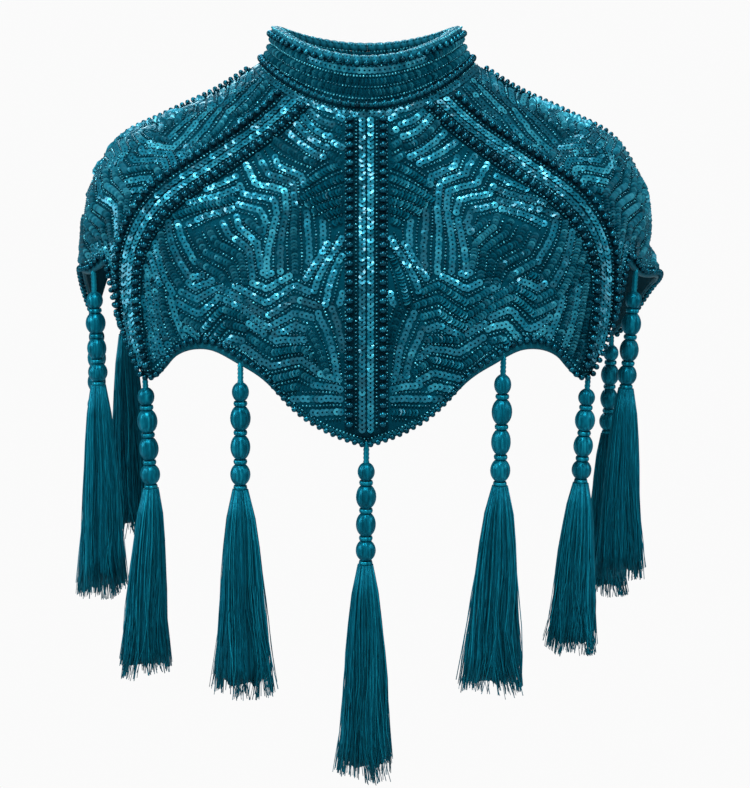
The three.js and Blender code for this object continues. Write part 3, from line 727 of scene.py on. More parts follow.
for gore in GORES:
    patches = PATCHES[gore["shape"]]
    sequins = []
    taken = []
    for patch, along, degrees, points in row_runs(gore, patches, 0):
        packed = rng.random() < patch["packed"]
        spots = spaced_along((along, degrees, points), PACKED_PITCH if packed else FLAT_PITCH)
        count = len(spots[0])
        # Packed sequins alternate lighter and darker tones: painted light and shade, lit rib edges
        # with shaded gaps between them.
        painted_rib_shading = np.where(np.arange(count) % 2, 0.16, -0.16) if packed else 0
        tone = np.clip(rng.normal(0.45, 0.2) + painted_rib_shading + rng.normal(0, 0.13, count), 0, 1)
        # A few sequins take the lightest tone: painted glints.
        tone = np.where(rng.random(count) < 0.05, 1, tone)
        sequins.append(sewn_sequins(*spots, packed, tone))
        taken.append(cloth_point(*spots[:2]))
    # The sequin row just below the neck cord gets dark tones: painted shade under the cord.
    spots = spaced_along(neck_line(gore, NECK_SEQUINS), FLAT_PITCH)
    tone = drawn_tones(0.12, 0.12, len(spots[0]))
    sequins.append(sewn_sequins(*spots, False, tone))
    taken.append(cloth_point(*spots[:2]))
    beads = []
    for patch, along, degrees, points in row_runs(gore, patches, 0.5):
        spots = spaced_along((along, degrees, points), BEAD_PITCH)
        count = len(spots[0])
        tone = drawn_tones(0.4, 0.2, count)
        # A few beads take the lightest tone: painted glints.
        tone = np.where(rng.random(count) < 0.06, 1, tone)
        beads.append(sewn_beads(*spots, tone))
        taken.append(cloth_point(*spots[:2]))
    spots = spaced_along(neck_line(gore, NECK_BEADS), BEAD_PITCH)
    beads.append(sewn_beads(*spots, drawn_tones(0.5, 0.2, len(spots[0]))))
    for kind, loose in zip((sequins, beads), loose_pieces(gore, np.concatenate(taken))):
        kind.append(loose)
    joined_piece(f"sequins_{gore['name']}", sequins, sequin_gloss, smooth=False)
    joined_piece(f"seed_beads_{gore['name']}", beads, bead_glass)


# The seam bands: a braid 30 mm wide laid over each seam, a row of 6 mm pearls near each of its
# edges, two columns of cup sequins down its middle, and lines of seed beads between them. The
# shoulder bands' pearls are smaller.
BAND_THICKNESS = 1.2
BAND_FACE = SEAM_GAP + BAND_THICKNESS
BAND_START = 0.045  # shares of the band's own length, as its edges lie
BAND_END = 0.985
BAND_COLUMNS = 9
BAND_ROWS = 64
PEARL_RADIUS = 2.95
PEARL_PITCH = 6.5
PEARL_OFFSET = 11.5
SHOULDER_PEARL = 0.72
SEQUIN_COLUMNS = ((-2.9, 0.22), (2.9, 0.5))  # offset and tone
BEAD_LINES = (-14.2, -7.2, 7.2, 14.2)
BAND_BEAD_PITCH = 2.6
CLEAR_OF_HEM = 4
braid_cloth = cloth_finish("braid_cloth", (0.0004, 0.01, 0.017), (0.0012, 0.032, 0.05), 0.7, 900, 60)
pearl_tones = [(0, (0.001, 0.026, 0.042)), (0.5, (0.003, 0.08, 0.122)), (1, (0.02, 0.22, 0.3))]
pearl_coat = toned_finish("pearl_coat", pearl_tones, 0.3, 0.9, 0.15, coat_rough=0.06)
pearl = modelled_bead(PEARL_RADIUS, finer=True)


def gore_beside(seam, side):
    """The gore on one side of a seam, and whether its shares grow away from that seam."""
    for gore in GORES:
        if gore["start"] == seam["name"] and turning_way(gore) == side:
            return gore, True
        if gore["end"] == seam["name"] and turning_way(gore) == -side:
            return gore, False


def band_reach(seam, offset):
    """How far down the cloth the cut edge lies, at an offset from a seam."""
    gore, grows = gore_beside(seam, 1 if offset >= 0 else -1)
    share = abs(offset) / gore_width(gore, seam["reach"])
    return float(hem_reach(gore, share if grows else 1 - share))


def band_spots(seam, offset, pitch):
    """Places down a band at an even pitch, to just short of the hem."""
    end = BAND_END * band_reach(seam, offset) - CLEAR_OF_HEM
    along = np.arange(BAND_START * seam["reach"] + 0.5, end)
    degrees = angle_across(along, seam_angle(seam, along), offset)
    return spaced_along((along, degrees, cloth_point(along, degrees)), pitch)


def sewn_pearls(along, degrees, way, face, radius):
    at, ahead, up = on_cloth(along, degrees, way, face + radius * 0.8)
    scale = np.full((len(along), 3), radius / PEARL_RADIUS)
    return sewn_copies(pearl, at, ahead, up, drawn_tones(0.4, 0.15, len(along)), scale)


for seam in SEAMS[:-1]:
    name = seam["name"]
    offsets = np.linspace(-BAND_WIDTH / 2, BAND_WIDTH / 2, BAND_COLUMNS)
    ends = np.array([band_reach(seam, offset) for offset in offsets]) * BAND_END
    starts = BAND_START * seam["reach"]
    along = starts + (ends[:, None] - starts) * np.linspace(0, 1, BAND_ROWS)[None]
    degrees = angle_across(along, seam_angle(seam, along), offsets[:, None])
    run = np.stack([np.broadcast_to(offsets[:, None], along.shape), -along], -1)
    cloth_piece(
        f"band_shell_{name}", lifted(along, degrees, BAND_FACE), run,
        (braid_cloth, braid_cloth), BAND_THICKNESS, f"band_{name}",
    )
    pearls = []
    share = SHOULDER_PEARL if "shoulder" in name else 1
    for offset in (-PEARL_OFFSET, PEARL_OFFSET):
        spots = band_spots(seam, offset, PEARL_PITCH * share)
        pearls.append(sewn_pearls(*spots, BAND_FACE, PEARL_RADIUS * share))
    joined_piece(f"pearls_{name}", pearls, pearl_coat)
    sequins = []
    for offset, brightness in SEQUIN_COLUMNS:
        spots = band_spots(seam, offset, FLAT_PITCH)
        count = len(spots[0])
        at, ahead, up = on_cloth(*spots, BAND_FACE + 0.75)
        ahead, up = tipped(ahead, up, rng.normal(11, 6, count), rng.normal(0, 9, count))
        sequins.append(sewn_copies(sequin, at, ahead, up, drawn_tones(brightness, 0.2, count)))
    joined_piece(f"sequins_band_{name}", sequins, sequin_gloss, smooth=False)
    beads = []
    for offset in BEAD_LINES:
        spots = band_spots(seam, offset, BAND_BEAD_PITCH)
        tone = drawn_tones(0.45, 0.25, len(spots[0]))
        beads.append(sewn_beads(*spots, tone, BAND_FACE + BEAD_RADIUS * 0.8))
    joined_piece(f"seed_beads_band_{name}", beads, bead_glass)


# The hem: the gores' cut edges bound with a narrow strip of the lining cloth. A string of small
# pearls follows it, at the very edge by the tips and higher over the arches, then seed beads.
BINDING_HEIGHT = 5
BINDING_THICKNESS = 2.9
BINDING_POINTS = 10
BINDING_STEPS = 64
HEM_PEARL_RADIUS = 2.35
HEM_PEARL_PITCH = 5.3
HEM_PEARL_HEIGHT = 0.4
HEM_PEARL_INSET = (0.4, 6.5)  # in from the cut edge: at the tips, and over the arches
HEM_BEAD_INSET = 4.2  # in from the pearls
HEM_BEAD_PITCH = 2.5


def hem_run(gore, inset_tip, inset_arch):
    """A line along a gore's hem, as places 1 mm apart, some way in from the cut edge."""
    width = float(gore_width(gore, gore["arch"]))
    shares = np.linspace(0, 1, int(width * 1.6))
    drop = np.clip(hem_drop(gore, shares), 0, 1)
    inset = inset_arch + (inset_tip - inset_arch) * np.clip(drop * 1.5, 0, 1)
    along = hem_reach(gore, shares) - inset
    degrees = gore_angle(gore, shares, along)
    return along, degrees, cloth_point(along, degrees)


def binding_part(gore):
    """The bound edge of a gore: a flattened tube folded over its hem."""
    shares = np.linspace(0.004, 0.996, BINDING_STEPS)
    reach = hem_reach(gore, shares)
    degrees = gore_angle(gore, shares, reach)
    edge = cloth_point(reach, degrees)
    out = cloth_normal(reach, degrees)
    up = unit(cloth_point(reach - 2, gore_angle(gore, shares, reach - 2)) - edge)
    turn = np.linspace(0, 2 * math.pi, BINDING_POINTS, endpoint=False)
    rise = BINDING_HEIGHT / 2 * np.cos(turn) + BINDING_HEIGHT / 2 - 0.6
    side = BINDING_THICKNESS / 2 * np.sin(turn) - CLOTH / 2
    return edge[:, None] + up[:, None] * rise[None, :, None] + out[:, None] * side[None, :, None]


def tube_part(rings, tone):
    """A closed tube from rings of points, [ring, point], with its two ends drawn shut."""
    count, around = rings.shape[:2]
    numbers = np.arange(count * around).reshape(count, around)
    after = np.roll(numbers, -1, 1)
    walls = np.stack([numbers[:-1], after[:-1], after[1:], numbers[1:]], -1).reshape(-1, 4)
    corners = np.concatenate([walls.ravel(), numbers[0][::-1], numbers[-1]])
    sizes = np.concatenate([np.full(len(walls), 4), [around, around]])
    points = rings.reshape(-1, 3)
    a, b, c = (points[walls[:, k]] for k in range(3))
    if (np.cross(b - a, c - b) * (a - rings.mean(1).repeat(around, 0)[: len(a)])).sum() < 0:
        corners = corners[::-1]
        sizes = sizes[::-1]
    tone = np.broadcast_to(tone, len(points))
    return dict(points=points, corners=corners, sizes=sizes, tone=tone)


binding_tones = [(0, (0.001, 0.02, 0.033)), (0.5, (0.003, 0.06, 0.09)), (1, (0.008, 0.12, 0.18))]
binding_satin = toned_finish("binding_satin", binding_tones, 0.5, 0, 0)
for gore in GORES:
    name = gore["name"]
    bound = [tube_part(binding_part(gore), 0.5)]
    joined_piece(f"hem_binding_{name}", bound, binding_satin)
    spots = spaced_along(hem_run(gore, *HEM_PEARL_INSET), HEM_PEARL_PITCH)
    pearls = [sewn_pearls(*spots, HEM_PEARL_HEIGHT, HEM_PEARL_RADIUS)]
    joined_piece(f"hem_pearls_{name}", pearls, pearl_coat)
    insets = [inset + HEM_BEAD_INSET for inset in HEM_PEARL_INSET]
    spots = spaced_along(hem_run(gore, *insets), HEM_BEAD_PITCH)
    beads = [sewn_beads(*spots, drawn_tones(0.6, 0.25, len(spots[0])))]
    joined_piece(f"hem_beads_{name}", beads, bead_glass)


# The stand collar: one strip of the same cloth, 2 mm thick, in two tiers. Round it run rows of
# sequins packed on edge, one flat row at the front of the upper tier, and lines of seed beads;
# the inside of its top is beaded too, where it shows over the front.
COLLAR_RINGS = named_rows(
    "rise side front back side_z front_z back_z",
    (0, 74, 71, 66, 0, -29, -8),
    (0.3, 71.5, 68.5, 64.5, 5.5, -20, -4),
    (0.65, 69, 66, 63, 12, -10.5, 1),
    (1, 67.5, 65, 62, 18, -2.5, 5.5),
)
COLLAR_THICKNESS = 2
COLLAR_LIFT = 0.5
COLLAR_COLUMNS = 160
COLLAR_LEVELS = 14
COLLAR_FOLDS = named_rows(
    "at rise lean width depth",
    (52, 0.85, 26, 5, 1.2), (68, 0.8, -20, 6, -0.8), (-48, 0.8, -24, 5, 1.1),
    (-70, 0.75, 18, 6, -0.8), (118, 0.6, 20, 7, 0.9), (-126, 0.65, -18, 7, 0.9),
)
COLLAR_FOLD_RISE = 0.3
BACK_EDGE = 179.85
ROW_EDGE = BACK_EDGE - 1.5
AROUND_STEPS = 720
FLAT_ROW_REACH = 38  # degrees either side of the front that the flat row covers
COLLAR_SEQUIN_OUT = 1.7
COLLAR_SEQUIN_PITCH = 2.6
COLLAR_SEQUIN_TILT = 75
INSIDE = -COLLAR_THICKNESS  # how far out the collar's inner face lies


def collar_point(rise, degrees, out):
    """A place on the collar: its share of the height, its angle, and how far out it stands."""
    rise, degrees = np.broadcast_arrays(np.asarray(rise, float), np.asarray(degrees, float))
    rises = [ring["rise"] for ring in COLLAR_RINGS]
    ring = blend_ring(COLLAR_RINGS, np.interp(rise, rises, range(len(rises))))
    ring.update(square=np.full(rise.shape, 2.0), crest=np.full(rise.shape, 2.0))
    point = on_ring(ring, degrees)
    around = on_ring(ring, degrees + 1) - on_ring(ring, degrees - 1)
    outward = unit(np.stack([-around[..., 1], around[..., 0], 0 * rise], -1))
    outward = outward * np.sign((outward * point).sum(-1, keepdims=True))
    for fold in COLLAR_FOLDS:
        above = rise - fold["rise"]
        away = turned_from(degrees, fold["at"] + fold["lean"] * above) / fold["width"]
        out = out + fold["depth"] * np.exp(-(away**2) - (above / COLLAR_FOLD_RISE) ** 2)
    return point + outward * np.asarray(out)[..., None] + (0, 0, COLLAR_LIFT), outward


def spaced_around(place, pitch, start, end):
    """Places at an even pitch around the neck: middle, way along, way out and angle. place
    gives the middle and the way out for some angles."""
    degrees = np.linspace(start, end, AROUND_STEPS)
    steps = np.linalg.norm(np.diff(place(degrees)[0], axis=0), axis=1)
    length = np.concatenate([[0], np.cumsum(steps)])
    angles = np.interp(np.arange(pitch / 2, length[-1], pitch), length, degrees)
    middle, outward = place(angles)
    return middle, unit(place(angles + 0.5)[0] - middle), outward, angles


def collar_row(rise, out, pitch, start=-ROW_EDGE, end=ROW_EDGE):
    return spaced_around(lambda degrees: collar_point(rise, degrees, out), pitch, start, end)


def collar_sequins(rise, out, facing, start=-ROW_EDGE, end=ROW_EDGE):
    """A row of sequins packed on edge around the collar, on its outside or its inside."""
    middle, ahead, outward, angles = collar_row(rise, out, COLLAR_SEQUIN_PITCH, start, end)
    count = len(middle)
    # Packed sequins alternate lighter and darker tones: painted light and shade, lit rib edges with
    # shaded gaps between them.
    painted_rib_shading = np.where(np.arange(count) % 2, 0.26, -0.26)
    tone = np.clip(0.5 + 0.15 * np.sin(angles / 9) + painted_rib_shading + rng.normal(0, 0.14, count), 0, 1)
    ahead = ahead * np.where(angles < 0, -1, 1)[:, None]
    tilt = rng.normal(COLLAR_SEQUIN_TILT, 5, count)
    ahead, up = tipped(ahead, outward * facing, tilt, rng.normal(0, 4, count))
    return sewn_copies(sequin, middle, ahead, up, tone)


def collar_beads(rise, out, pitch, brightness):
    middle, ahead, outward, angles = collar_row(rise, out, pitch)
    return sewn_copies(seed_bead, middle, ahead, outward, drawn_tones(brightness, 0.22, len(middle)))


rises = np.linspace(0, 1, COLLAR_LEVELS)
turns = np.linspace(-BACK_EDGE, BACK_EDGE, COLLAR_COLUMNS)
grid = collar_point(rises[None], turns[:, None], 0)[0]
around = np.linalg.norm(np.diff(grid, axis=0), axis=-1).mean(1).cumsum()
upward = np.linalg.norm(np.diff(grid, axis=1), axis=-1).mean(0).cumsum()
run = np.broadcast_arrays(np.append(0, around)[:, None], np.append(0, upward)[None])
cloth_piece(
    "collar_shell", grid, np.stack(run, -1), (net_cloth, lining_cloth), COLLAR_THICKNESS,
    "collar",
)
rows = [collar_sequins(rise, COLLAR_SEQUIN_OUT, 1) for rise in (0.24, 0.5)]
for start, end in ((-ROW_EDGE, -FLAT_ROW_REACH), (FLAT_ROW_REACH, ROW_EDGE)):
    rows.append(collar_sequins(0.82, COLLAR_SEQUIN_OUT, 1, start, end))
for rise in (0.84, 0.56):
    rows.append(collar_sequins(rise, INSIDE - 1.2, -1))
middle, ahead, outward, angles = collar_row(0.82, 0.8, 3.6, -FLAT_ROW_REACH, FLAT_ROW_REACH)
rows.append(sewn_copies(sequin, middle, ahead, outward, drawn_tones(0.6, 0.25, len(middle))))
joined_piece("sequins_collar", rows, sequin_gloss, smooth=False)
# Each row of beads: its share of the height, how far out, pitch and brightness.
COLLAR_BEADS = (
    (0.1, 1.0, 2.3, 0.7), (0.37, 1.0, 2.3, 0.5), (0.65, 1.0, 2.3, 0.85), (0.96, 0.9, 2.5, 0.5),
    (0.7, INSIDE - 0.9, 2.6, 0.5), (0.98, INSIDE - 0.9, 2.6, 0.7),
)
rows = [collar_beads(*row) for row in COLLAR_BEADS]
joined_piece("seed_beads_collar", rows, bead_glass)


# The rolled rim: a soft roll covered with cloth on the bias, drawn into slanting wraps, with a
# line of seed beads along its inside and a string of pearls along its outside.
ROLL_RADIUS = 3.6
ROLL_SUNK = 0.5  # how far it is drawn down over the collar's edge
ROLL_WRAPS = 62
WRAP_DEPTH = 0.8
ROLL_EDGE = 179.98  # its two ends meet at the centre back
ROLL_STEPS = 500
ROLL_SIDES = 12
RIM_PEARL_PITCH = 6.6
RIM_PEARL_SHARE = 0.84
RIM_BEAD_PITCH = 2.6


def rim_place(degrees, turn, radius):
    """A place around the roll: its angle around the neck, and its turn around the roll."""
    middle, outward = collar_point(1, degrees, -COLLAR_THICKNESS / 2)
    middle = middle + (0, 0, ROLL_RADIUS - ROLL_SUNK)
    away = outward * np.cos(turn)[..., None] + np.array([0, 0, 1]) * np.sin(turn)[..., None]
    return middle + away * np.asarray(radius)[..., None], away


turns = np.linspace(-ROLL_EDGE, ROLL_EDGE, ROLL_STEPS)[:, None]
around_roll = np.linspace(0, 2 * math.pi, ROLL_SIDES, endpoint=False)[None]
turns, around_roll = np.broadcast_arrays(turns, around_roll)
slant = ROLL_WRAPS * np.radians(turns) + around_roll + 0.8 * np.sin(np.radians(turns) * 7)
wrapped = ROLL_RADIUS - WRAP_DEPTH + WRAP_DEPTH * np.abs(np.cos(slant / 2)) ** 0.7
# The roll's tone follows the height of its wraps: painted shade, darker down in the grooves between
# them.
tone = np.clip(0.1 + 0.9 * (wrapped.ravel() - wrapped.min()) / WRAP_DEPTH, 0, 1)
roll = [tube_part(rim_place(turns, around_roll, wrapped)[0], tone)]
roll = joined_piece("collar_roll_wrapped", roll, binding_satin)
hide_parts("collar_roll")


def rim_row(turn, radius, pitch, model, brightness, scale=1.0):
    """A row of beads or pearls along the roll, at a turn around it in degrees."""
    turn = math.radians(turn)
    middle, ahead, away, angles = spaced_around(
        lambda degrees: rim_place(degrees, turn, radius), pitch, -ROLL_EDGE, ROLL_EDGE
    )
    count = len(angles)
    tone = drawn_tones(brightness, 0.2, count)
    return sewn_copies(model, middle, ahead, away, tone, np.full((count, 3), scale))


rim_pearls = [rim_row(-22, ROLL_RADIUS + 1.6, RIM_PEARL_PITCH, pearl, 0.5, RIM_PEARL_SHARE)]
joined_piece("pearls_collar_rim", rim_pearls, pearl_coat)
rim_beads = [
    rim_row(turn, ROLL_RADIUS + 0.3, RIM_BEAD_PITCH, seed_bead, brightness)
    for turn, brightness in ((40, 0.7), (150, 0.6))
]
joined_piece("seed_beads_collar_rim", rim_beads, bead_glass)


# The neck cord: a string of pearls on a twisted cord, laid over the seam of collar and gores
# and sewn down all the way round, from one edge of the back opening to the other.
NECK_CORD_ALONG = 2.2
NECK_CORD_HEIGHT = 3.2
NECK_CORD_RADIUS = 1.7
NECK_CORD_SIDES = 8
NECK_TWISTS = 150
NECK_STEPS = 560
turns = np.linspace(-BACK_EDGE, BACK_EDGE, NECK_STEPS)
middle = lifted(NECK_CORD_ALONG, turns, NECK_CORD_HEIGHT)
ahead = unit(np.gradient(middle, axis=0))
side = unit(np.cross(ahead, [0, 0, 1]))
upward = np.cross(side, ahead)
around_cord = np.linspace(0, 2 * math.pi, NECK_CORD_SIDES, endpoint=False)
strands = np.abs(np.cos(around_cord[None] + NECK_TWISTS * np.radians(turns)[:, None] / 2))
reach = NECK_CORD_RADIUS * (0.8 + 0.25 * strands)
rings = middle[:, None] + side[:, None] * (reach * np.cos(around_cord))[..., None]
rings = rings + upward[:, None] * (reach * np.sin(around_cord))[..., None]
neck_cord = joined_piece("neck_cord_twisted", [tube_part(rings, 0.5)], binding_satin)
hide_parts("neck_cord")
along = np.full(AROUND_STEPS, NECK_CORD_ALONG)
degrees = np.linspace(-BACK_EDGE + 1, BACK_EDGE - 1, AROUND_STEPS)
spots = spaced_along((along, degrees, cloth_point(along, degrees)), PEARL_PITCH * 0.95)
neck_pearls = [sewn_pearls(*spots, NECK_CORD_HEIGHT - PEARL_RADIUS * 0.5, PEARL_RADIUS * 0.92)]
joined_piece("pearls_neck", neck_pearls, pearl_coat)


# The underlaps: plain strips of the lining cloth behind the butted edges of the back opening,
# one in the collar and one below it.
UNDERLAP_WIDTH = 24
UNDERLAP_THICKNESS = 1.2
UNDERLAP_GAP = 2 * SEAM_GAP
UNDERLAP_COLUMNS = 9
half = math.degrees(UNDERLAP_WIDTH / 2 / COLLAR_RINGS[0]["back"])
degrees = 180 + np.linspace(-half, half, UNDERLAP_COLUMNS)[:, None]
grid = collar_point(np.linspace(0.08, 0.97, 10)[None], degrees, INSIDE - UNDERLAP_GAP)[0]
offsets = np.linspace(-UNDERLAP_WIDTH / 2, UNDERLAP_WIDTH / 2, UNDERLAP_COLUMNS)[:, None]
length = np.linalg.norm(np.diff(grid[4], axis=0), axis=1).sum()
run = np.stack(np.broadcast_arrays(offsets, np.linspace(0, length, 10)[None]), -1)
underlaps = [("collar_underlap", grid, run)]
opening = row_named(SEAMS, "centre_back")["reach"]
along = np.broadcast_to(opening * np.linspace(0.03, 0.98, 40)[None], (UNDERLAP_COLUMNS, 40))
degrees = angle_across(along, np.full(along.shape, 180.0), offsets)
run = np.stack([np.broadcast_to(offsets, along.shape), -along], -1)
underlaps.append(("back_underlap", lifted(along, degrees, -CLOTH - 3 * SEAM_GAP), run))
for node, grid, run in underlaps:
    cloth_piece(
        f"{node}_strip", grid, run, (lining_cloth, lining_cloth), UNDERLAP_THICKNESS,
        node,
    )


# The tassels: each hangs from the hem by a twisted cord. Below it four wooden balls wrapped in
# silk are bound off from each other, and a skirt of silk threads is bound in under the last.
TASSEL_GAP = 0.5
CORD_RADIUS = 2.05
CORD_ROOT = 3.5
BALLS = named_rows("radius height", (6, 12), (7.2, 16), (7, 16), (7.1, 14))
BALL_MERIDIANS = 36
BALL_RINGS = 14
WRAP_HEIGHT = 2.2
WRAP_RADIUS = 4.9
WRAP_TALLER = 2.1
SKIRT_TOP = 5.2
CORE_END = 0.93
CORE_SIDES = 60
THREADS = 260
THREAD_STEPS = 8
LOCKS = 13  # the silk falls into this many locks
THREAD_WIDTH = 0.42
# A tassel hangs at a share of a gore's hem. Its cord, balls and skirt are so long, the skirt
# spreads so far at its end, and it leans by degrees and sways sideways.
TASSELS = named_rows(
    "name gore share cord balls skirt spread lean sway",
    ("front", "front_left", 0, 12, 73, 152, 20, -0.4, 1),
    ("front_left", "front_left", 0.43, 11, 79, 148, 22, -0.9, -2),
    ("front_right", "front_right", 0.385, 12, 76, 146, 21, -0.8, 3),
    ("slant_left", "side_left", 0, 8, 68, 122, 18, -2.8, 1),
    ("slant_right", "side_right", 0, 7, 73, 135, 18, 1.8, -12),
    ("side_left", "side_left", 0.34, 14, 71, 140, 17, -3.4, 6),
    ("side_right", "side_right", 0.38, 14, 68, 152, 17, 1, -2),
    ("shoulder_left", "side_left", 1, 6, 71, 128, 17, -1, 3),
    ("shoulder_right", "side_right", 1, 10, 68, 140, 16, -1.5, 2),
    ("rear_right", "rear_right", 0.29, 8, 64, 160, 17, 0, 1),
)


def modelled_ball():
    """A ball of unit size wrapped in silk: fine grooves run from pole to pole."""
    bpy.ops.object.select_all(action="DESELECT")
    bpy.ops.mesh.primitive_uv_sphere_add(
        segments=BALL_MERIDIANS, ring_count=BALL_RINGS, radius=MILLIMETRE
    )
    ball = bpy.context.object
    grooved = np.sort(rng.choice(BALL_MERIDIANS, BALL_MERIDIANS // 4, replace=False))
    bpy.ops.object.mode_set(mode="OBJECT")
    for order in (0, 1):
        in_edit_mode(ball)
        bpy.ops.mesh.select_all(action="DESELECT")
        bpy.ops.object.mode_set(mode="OBJECT")
        for vertex in ball.data.vertices:
            angle = math.degrees(math.atan2(vertex.co.y, vertex.co.x)) * BALL_MERIDIANS / 360
            off_axis = math.hypot(vertex.co.x, vertex.co.y) > 0.05 * MILLIMETRE
            vertex.select = bool(off_axis and round(angle) % BALL_MERIDIANS in grooved[order::2])
        bpy.ops.object.mode_set(mode="EDIT")
        inward = 0.96 if order else 0.92
        bpy.ops.transform.resize(value=(inward, inward, 1))
    return taken_apart(applied(ball))


def modelled_wrap():
    """One turn of a binding, of unit radius."""
    bpy.ops.object.select_all(action="DESELECT")
    bpy.ops.mesh.primitive_torus_add(
        major_segments=20, minor_segments=6, major_radius=0.84 * MILLIMETRE,
        minor_radius=0.16 * MILLIMETRE,
    )
    return taken_apart(applied(bpy.context.object))


silk_tones = [(0, (0.0003, 0.014, 0.024)), (0.5, (0.001, 0.092, 0.145)), (1, (0.008, 0.27, 0.38))]
ball_tones = [(0, (0.0002, 0.01, 0.018)), (0.5, (0.001, 0.1, 0.155)), (1, (0.01, 0.28, 0.38))]


def silk_finish(name, tones, streaks, depth, roughness, lustre):
    """Floss silk: its tone, with fine lighter and darker threads that run downwards."""
    finish = toned_finish(name, tones, roughness, lustre, 0)
    tree = finish.node_tree
    shader = tree.nodes["Principled BSDF"]
    set_sockets(shader, Sheen_Weight=0.1, Sheen_Tint=(0.03, 0.75, 1, 1))
    place = new_node(tree, "TexCoord")
    drawn = new_node(tree, "Mapping", Scale=(1, 1, 0.03))
    wire(tree, place, "Object", drawn, "Vector")
    threads = new_node(tree, "TexNoise", Scale=streaks, Detail=3)
    wire(tree, drawn, "Vector", threads, "Vector")
    shifted = new_node(tree, "Math")
    shifted.operation = "MULTIPLY_ADD"
    shifted.inputs[1].default_value = depth
    shifted.inputs[2].default_value = -depth / 2
    wire(tree, threads, "Fac", shifted, 0)
    total = new_node(tree, "Math")
    wire(tree, shifted, "Value", total, 0)
    wire(tree, tree.nodes["tone"], "Fac", total, 1)
    wire(tree, total, "Value", tree.nodes["tone_scale"], "Fac")
    bump = new_node(tree, "Bump", Strength=0.6, Distance=0.0005)
    wire(tree, threads, "Fac", bump, "Height")
    wire(tree, bump, "Normal", shader, "Normal")
    return finish


wrapped_silk = silk_finish("wrapped_silk", ball_tones, 600, 1.5, 0.36, 0.45)
floss_silk = silk_finish("floss_silk", silk_tones, 1500, 1.2, 0.42, 0.2)
silk_ball = modelled_ball()
wrap_turn = modelled_wrap()


def skirt_radius(tassel, share):
    """The skirt's radius at a share of its length: it opens fast, then slowly."""
    return SKIRT_TOP + (tassel["spread"] - SKIRT_TOP) * share**0.62


def cord_part(tassel):
    """The twisted cord, from its root between the hem's two cloths."""
    steps = int(tassel["cord"] * 2.5)
    z = -np.linspace(-CORD_ROOT, tassel["cord"] + 1, steps)[:, None]
    turn = np.linspace(0, 2 * math.pi, 8, endpoint=False)[None]
    strands = 0.84 + 0.2 * np.abs(np.cos(turn + z * 1.1))
    reach = CORD_RADIUS * strands * np.clip(1 - z / 6, 0.35, 1)
    rings = np.stack(np.broadcast_arrays(reach * np.cos(turn), reach * np.sin(turn), z), -1)
    return tube_part(rings, 0.7)


def core_part(tassel, top):
    """The body of the skirt, ridged like the threads that lie on it, with a ragged end."""
    share = np.linspace(0, CORE_END, 22)[:, None]
    turn = np.linspace(0, 2 * math.pi, CORE_SIDES, endpoint=False)[None]
    ridges = 0.84 + 0.07 * np.sin(turn * 30 + 2 * np.sin(share * 5)) + 0.05 * np.sin(turn * 7)
    reach = skirt_radius(tassel, share) * ridges
    x = reach * np.cos(turn) + tassel["sway"] * share
    ragged = 1 + 0.03 * share**6 * (np.sin(turn * 6 + tassel["skirt"]) + np.sin(turn * 17))
    z = top - share * tassel["skirt"] * ragged
    # The core is toned darker than the loose threads and darker still between its ridges: painted
    # shade inside the skirt. It also darkens towards the bottom.
    tone = 0.32 + 2.2 * (ridges.ravel() - 0.84) - 0.15 * share.repeat(CORE_SIDES)
    return tube_part(np.stack([x, reach * np.sin(turn), z], -1), np.clip(tone, 0, 1))


def thread_parts(tassel, top):
    """The loose threads, each a three-sided tube that tapers to its own ragged end, drawn
    together into locks towards it."""
    count = THREADS
    share = np.linspace(0, 1, THREAD_STEPS)[None, :, None]
    lock = rng.integers(0, LOCKS, count)
    lock_turn = (lock * 2 * math.pi / LOCKS)[:, None, None]
    spread = rng.normal(0, 1.1, count) * math.pi / LOCKS
    turn = lock_turn + spread[:, None, None]
    inner = rng.uniform(0.62, 1, count)[:, None, None] ** 0.6
    uneven = rng.normal(0, 0.022, LOCKS)[lock] - np.abs(rng.normal(0, 0.035, count))
    length = np.minimum(1.008 + uneven, 1.02)[:, None, None]
    stray = rng.normal(0, 0.05, count)[:, None, None]
    bend = rng.uniform(5, 9, LOCKS)[lock][:, None, None]
    phase = rng.uniform(0, 2 * math.pi, LOCKS)[lock][:, None, None]
    wave = 0.06 * np.sin(share * bend + phase)
    wave = wave + 0.03 * np.sin(share * rng.uniform(6, 14, count)[:, None, None] + turn * 5)
    down = share * length
    angle = turn + (stray * 2 + wave * 3) * share + (lock_turn - turn) * 0.55 * share**4
    reach = skirt_radius(tassel, down) * inner * (1 + stray * share**2 + wave * share)
    reach = reach * (1 + 0.06 * share**6)
    corner = np.radians([0, 120, 240])[None, None] + turn
    width = rng.uniform(0.75, 1.25, count)[:, None, None] * THREAD_WIDTH * (1.05 - 0.3 * share)
    x = reach * np.cos(angle) + width * np.cos(corner) + tassel["sway"] * down
    y = reach * np.sin(angle) + width * np.sin(corner)
    rings = np.stack([x, y, top - down * tassel["skirt"] + 0 * corner], -1)
    tones = drawn_tones(0.5, 0.17, count)
    tones = np.where(rng.random(count) < 0.05, 0.95, tones)
    return [tube_part(rings[k], tones[k]) for k in range(count)]


def hung(parts, tassel):
    """Parts of a tassel, moved from the tassel's own frame to where it hangs on the hem."""
    gore = row_named(GORES, tassel["gore"])
    reach = hem_reach(gore, tassel["share"])
    at = lifted(reach, gore_angle(gore, tassel["share"], reach), -CLOTH / 2) - (0, 0, TASSEL_GAP)
    lean = math.radians(tassel["lean"])
    across = np.array([math.cos(lean), 0, math.sin(lean)])
    upward = np.array([-math.sin(lean), 0, math.cos(lean)])
    for part in parts:
        x, y, z = part["points"].T[..., None]
        part["points"] = at + x * across + y * np.array([0, 1, 0]) + z * upward
    return parts


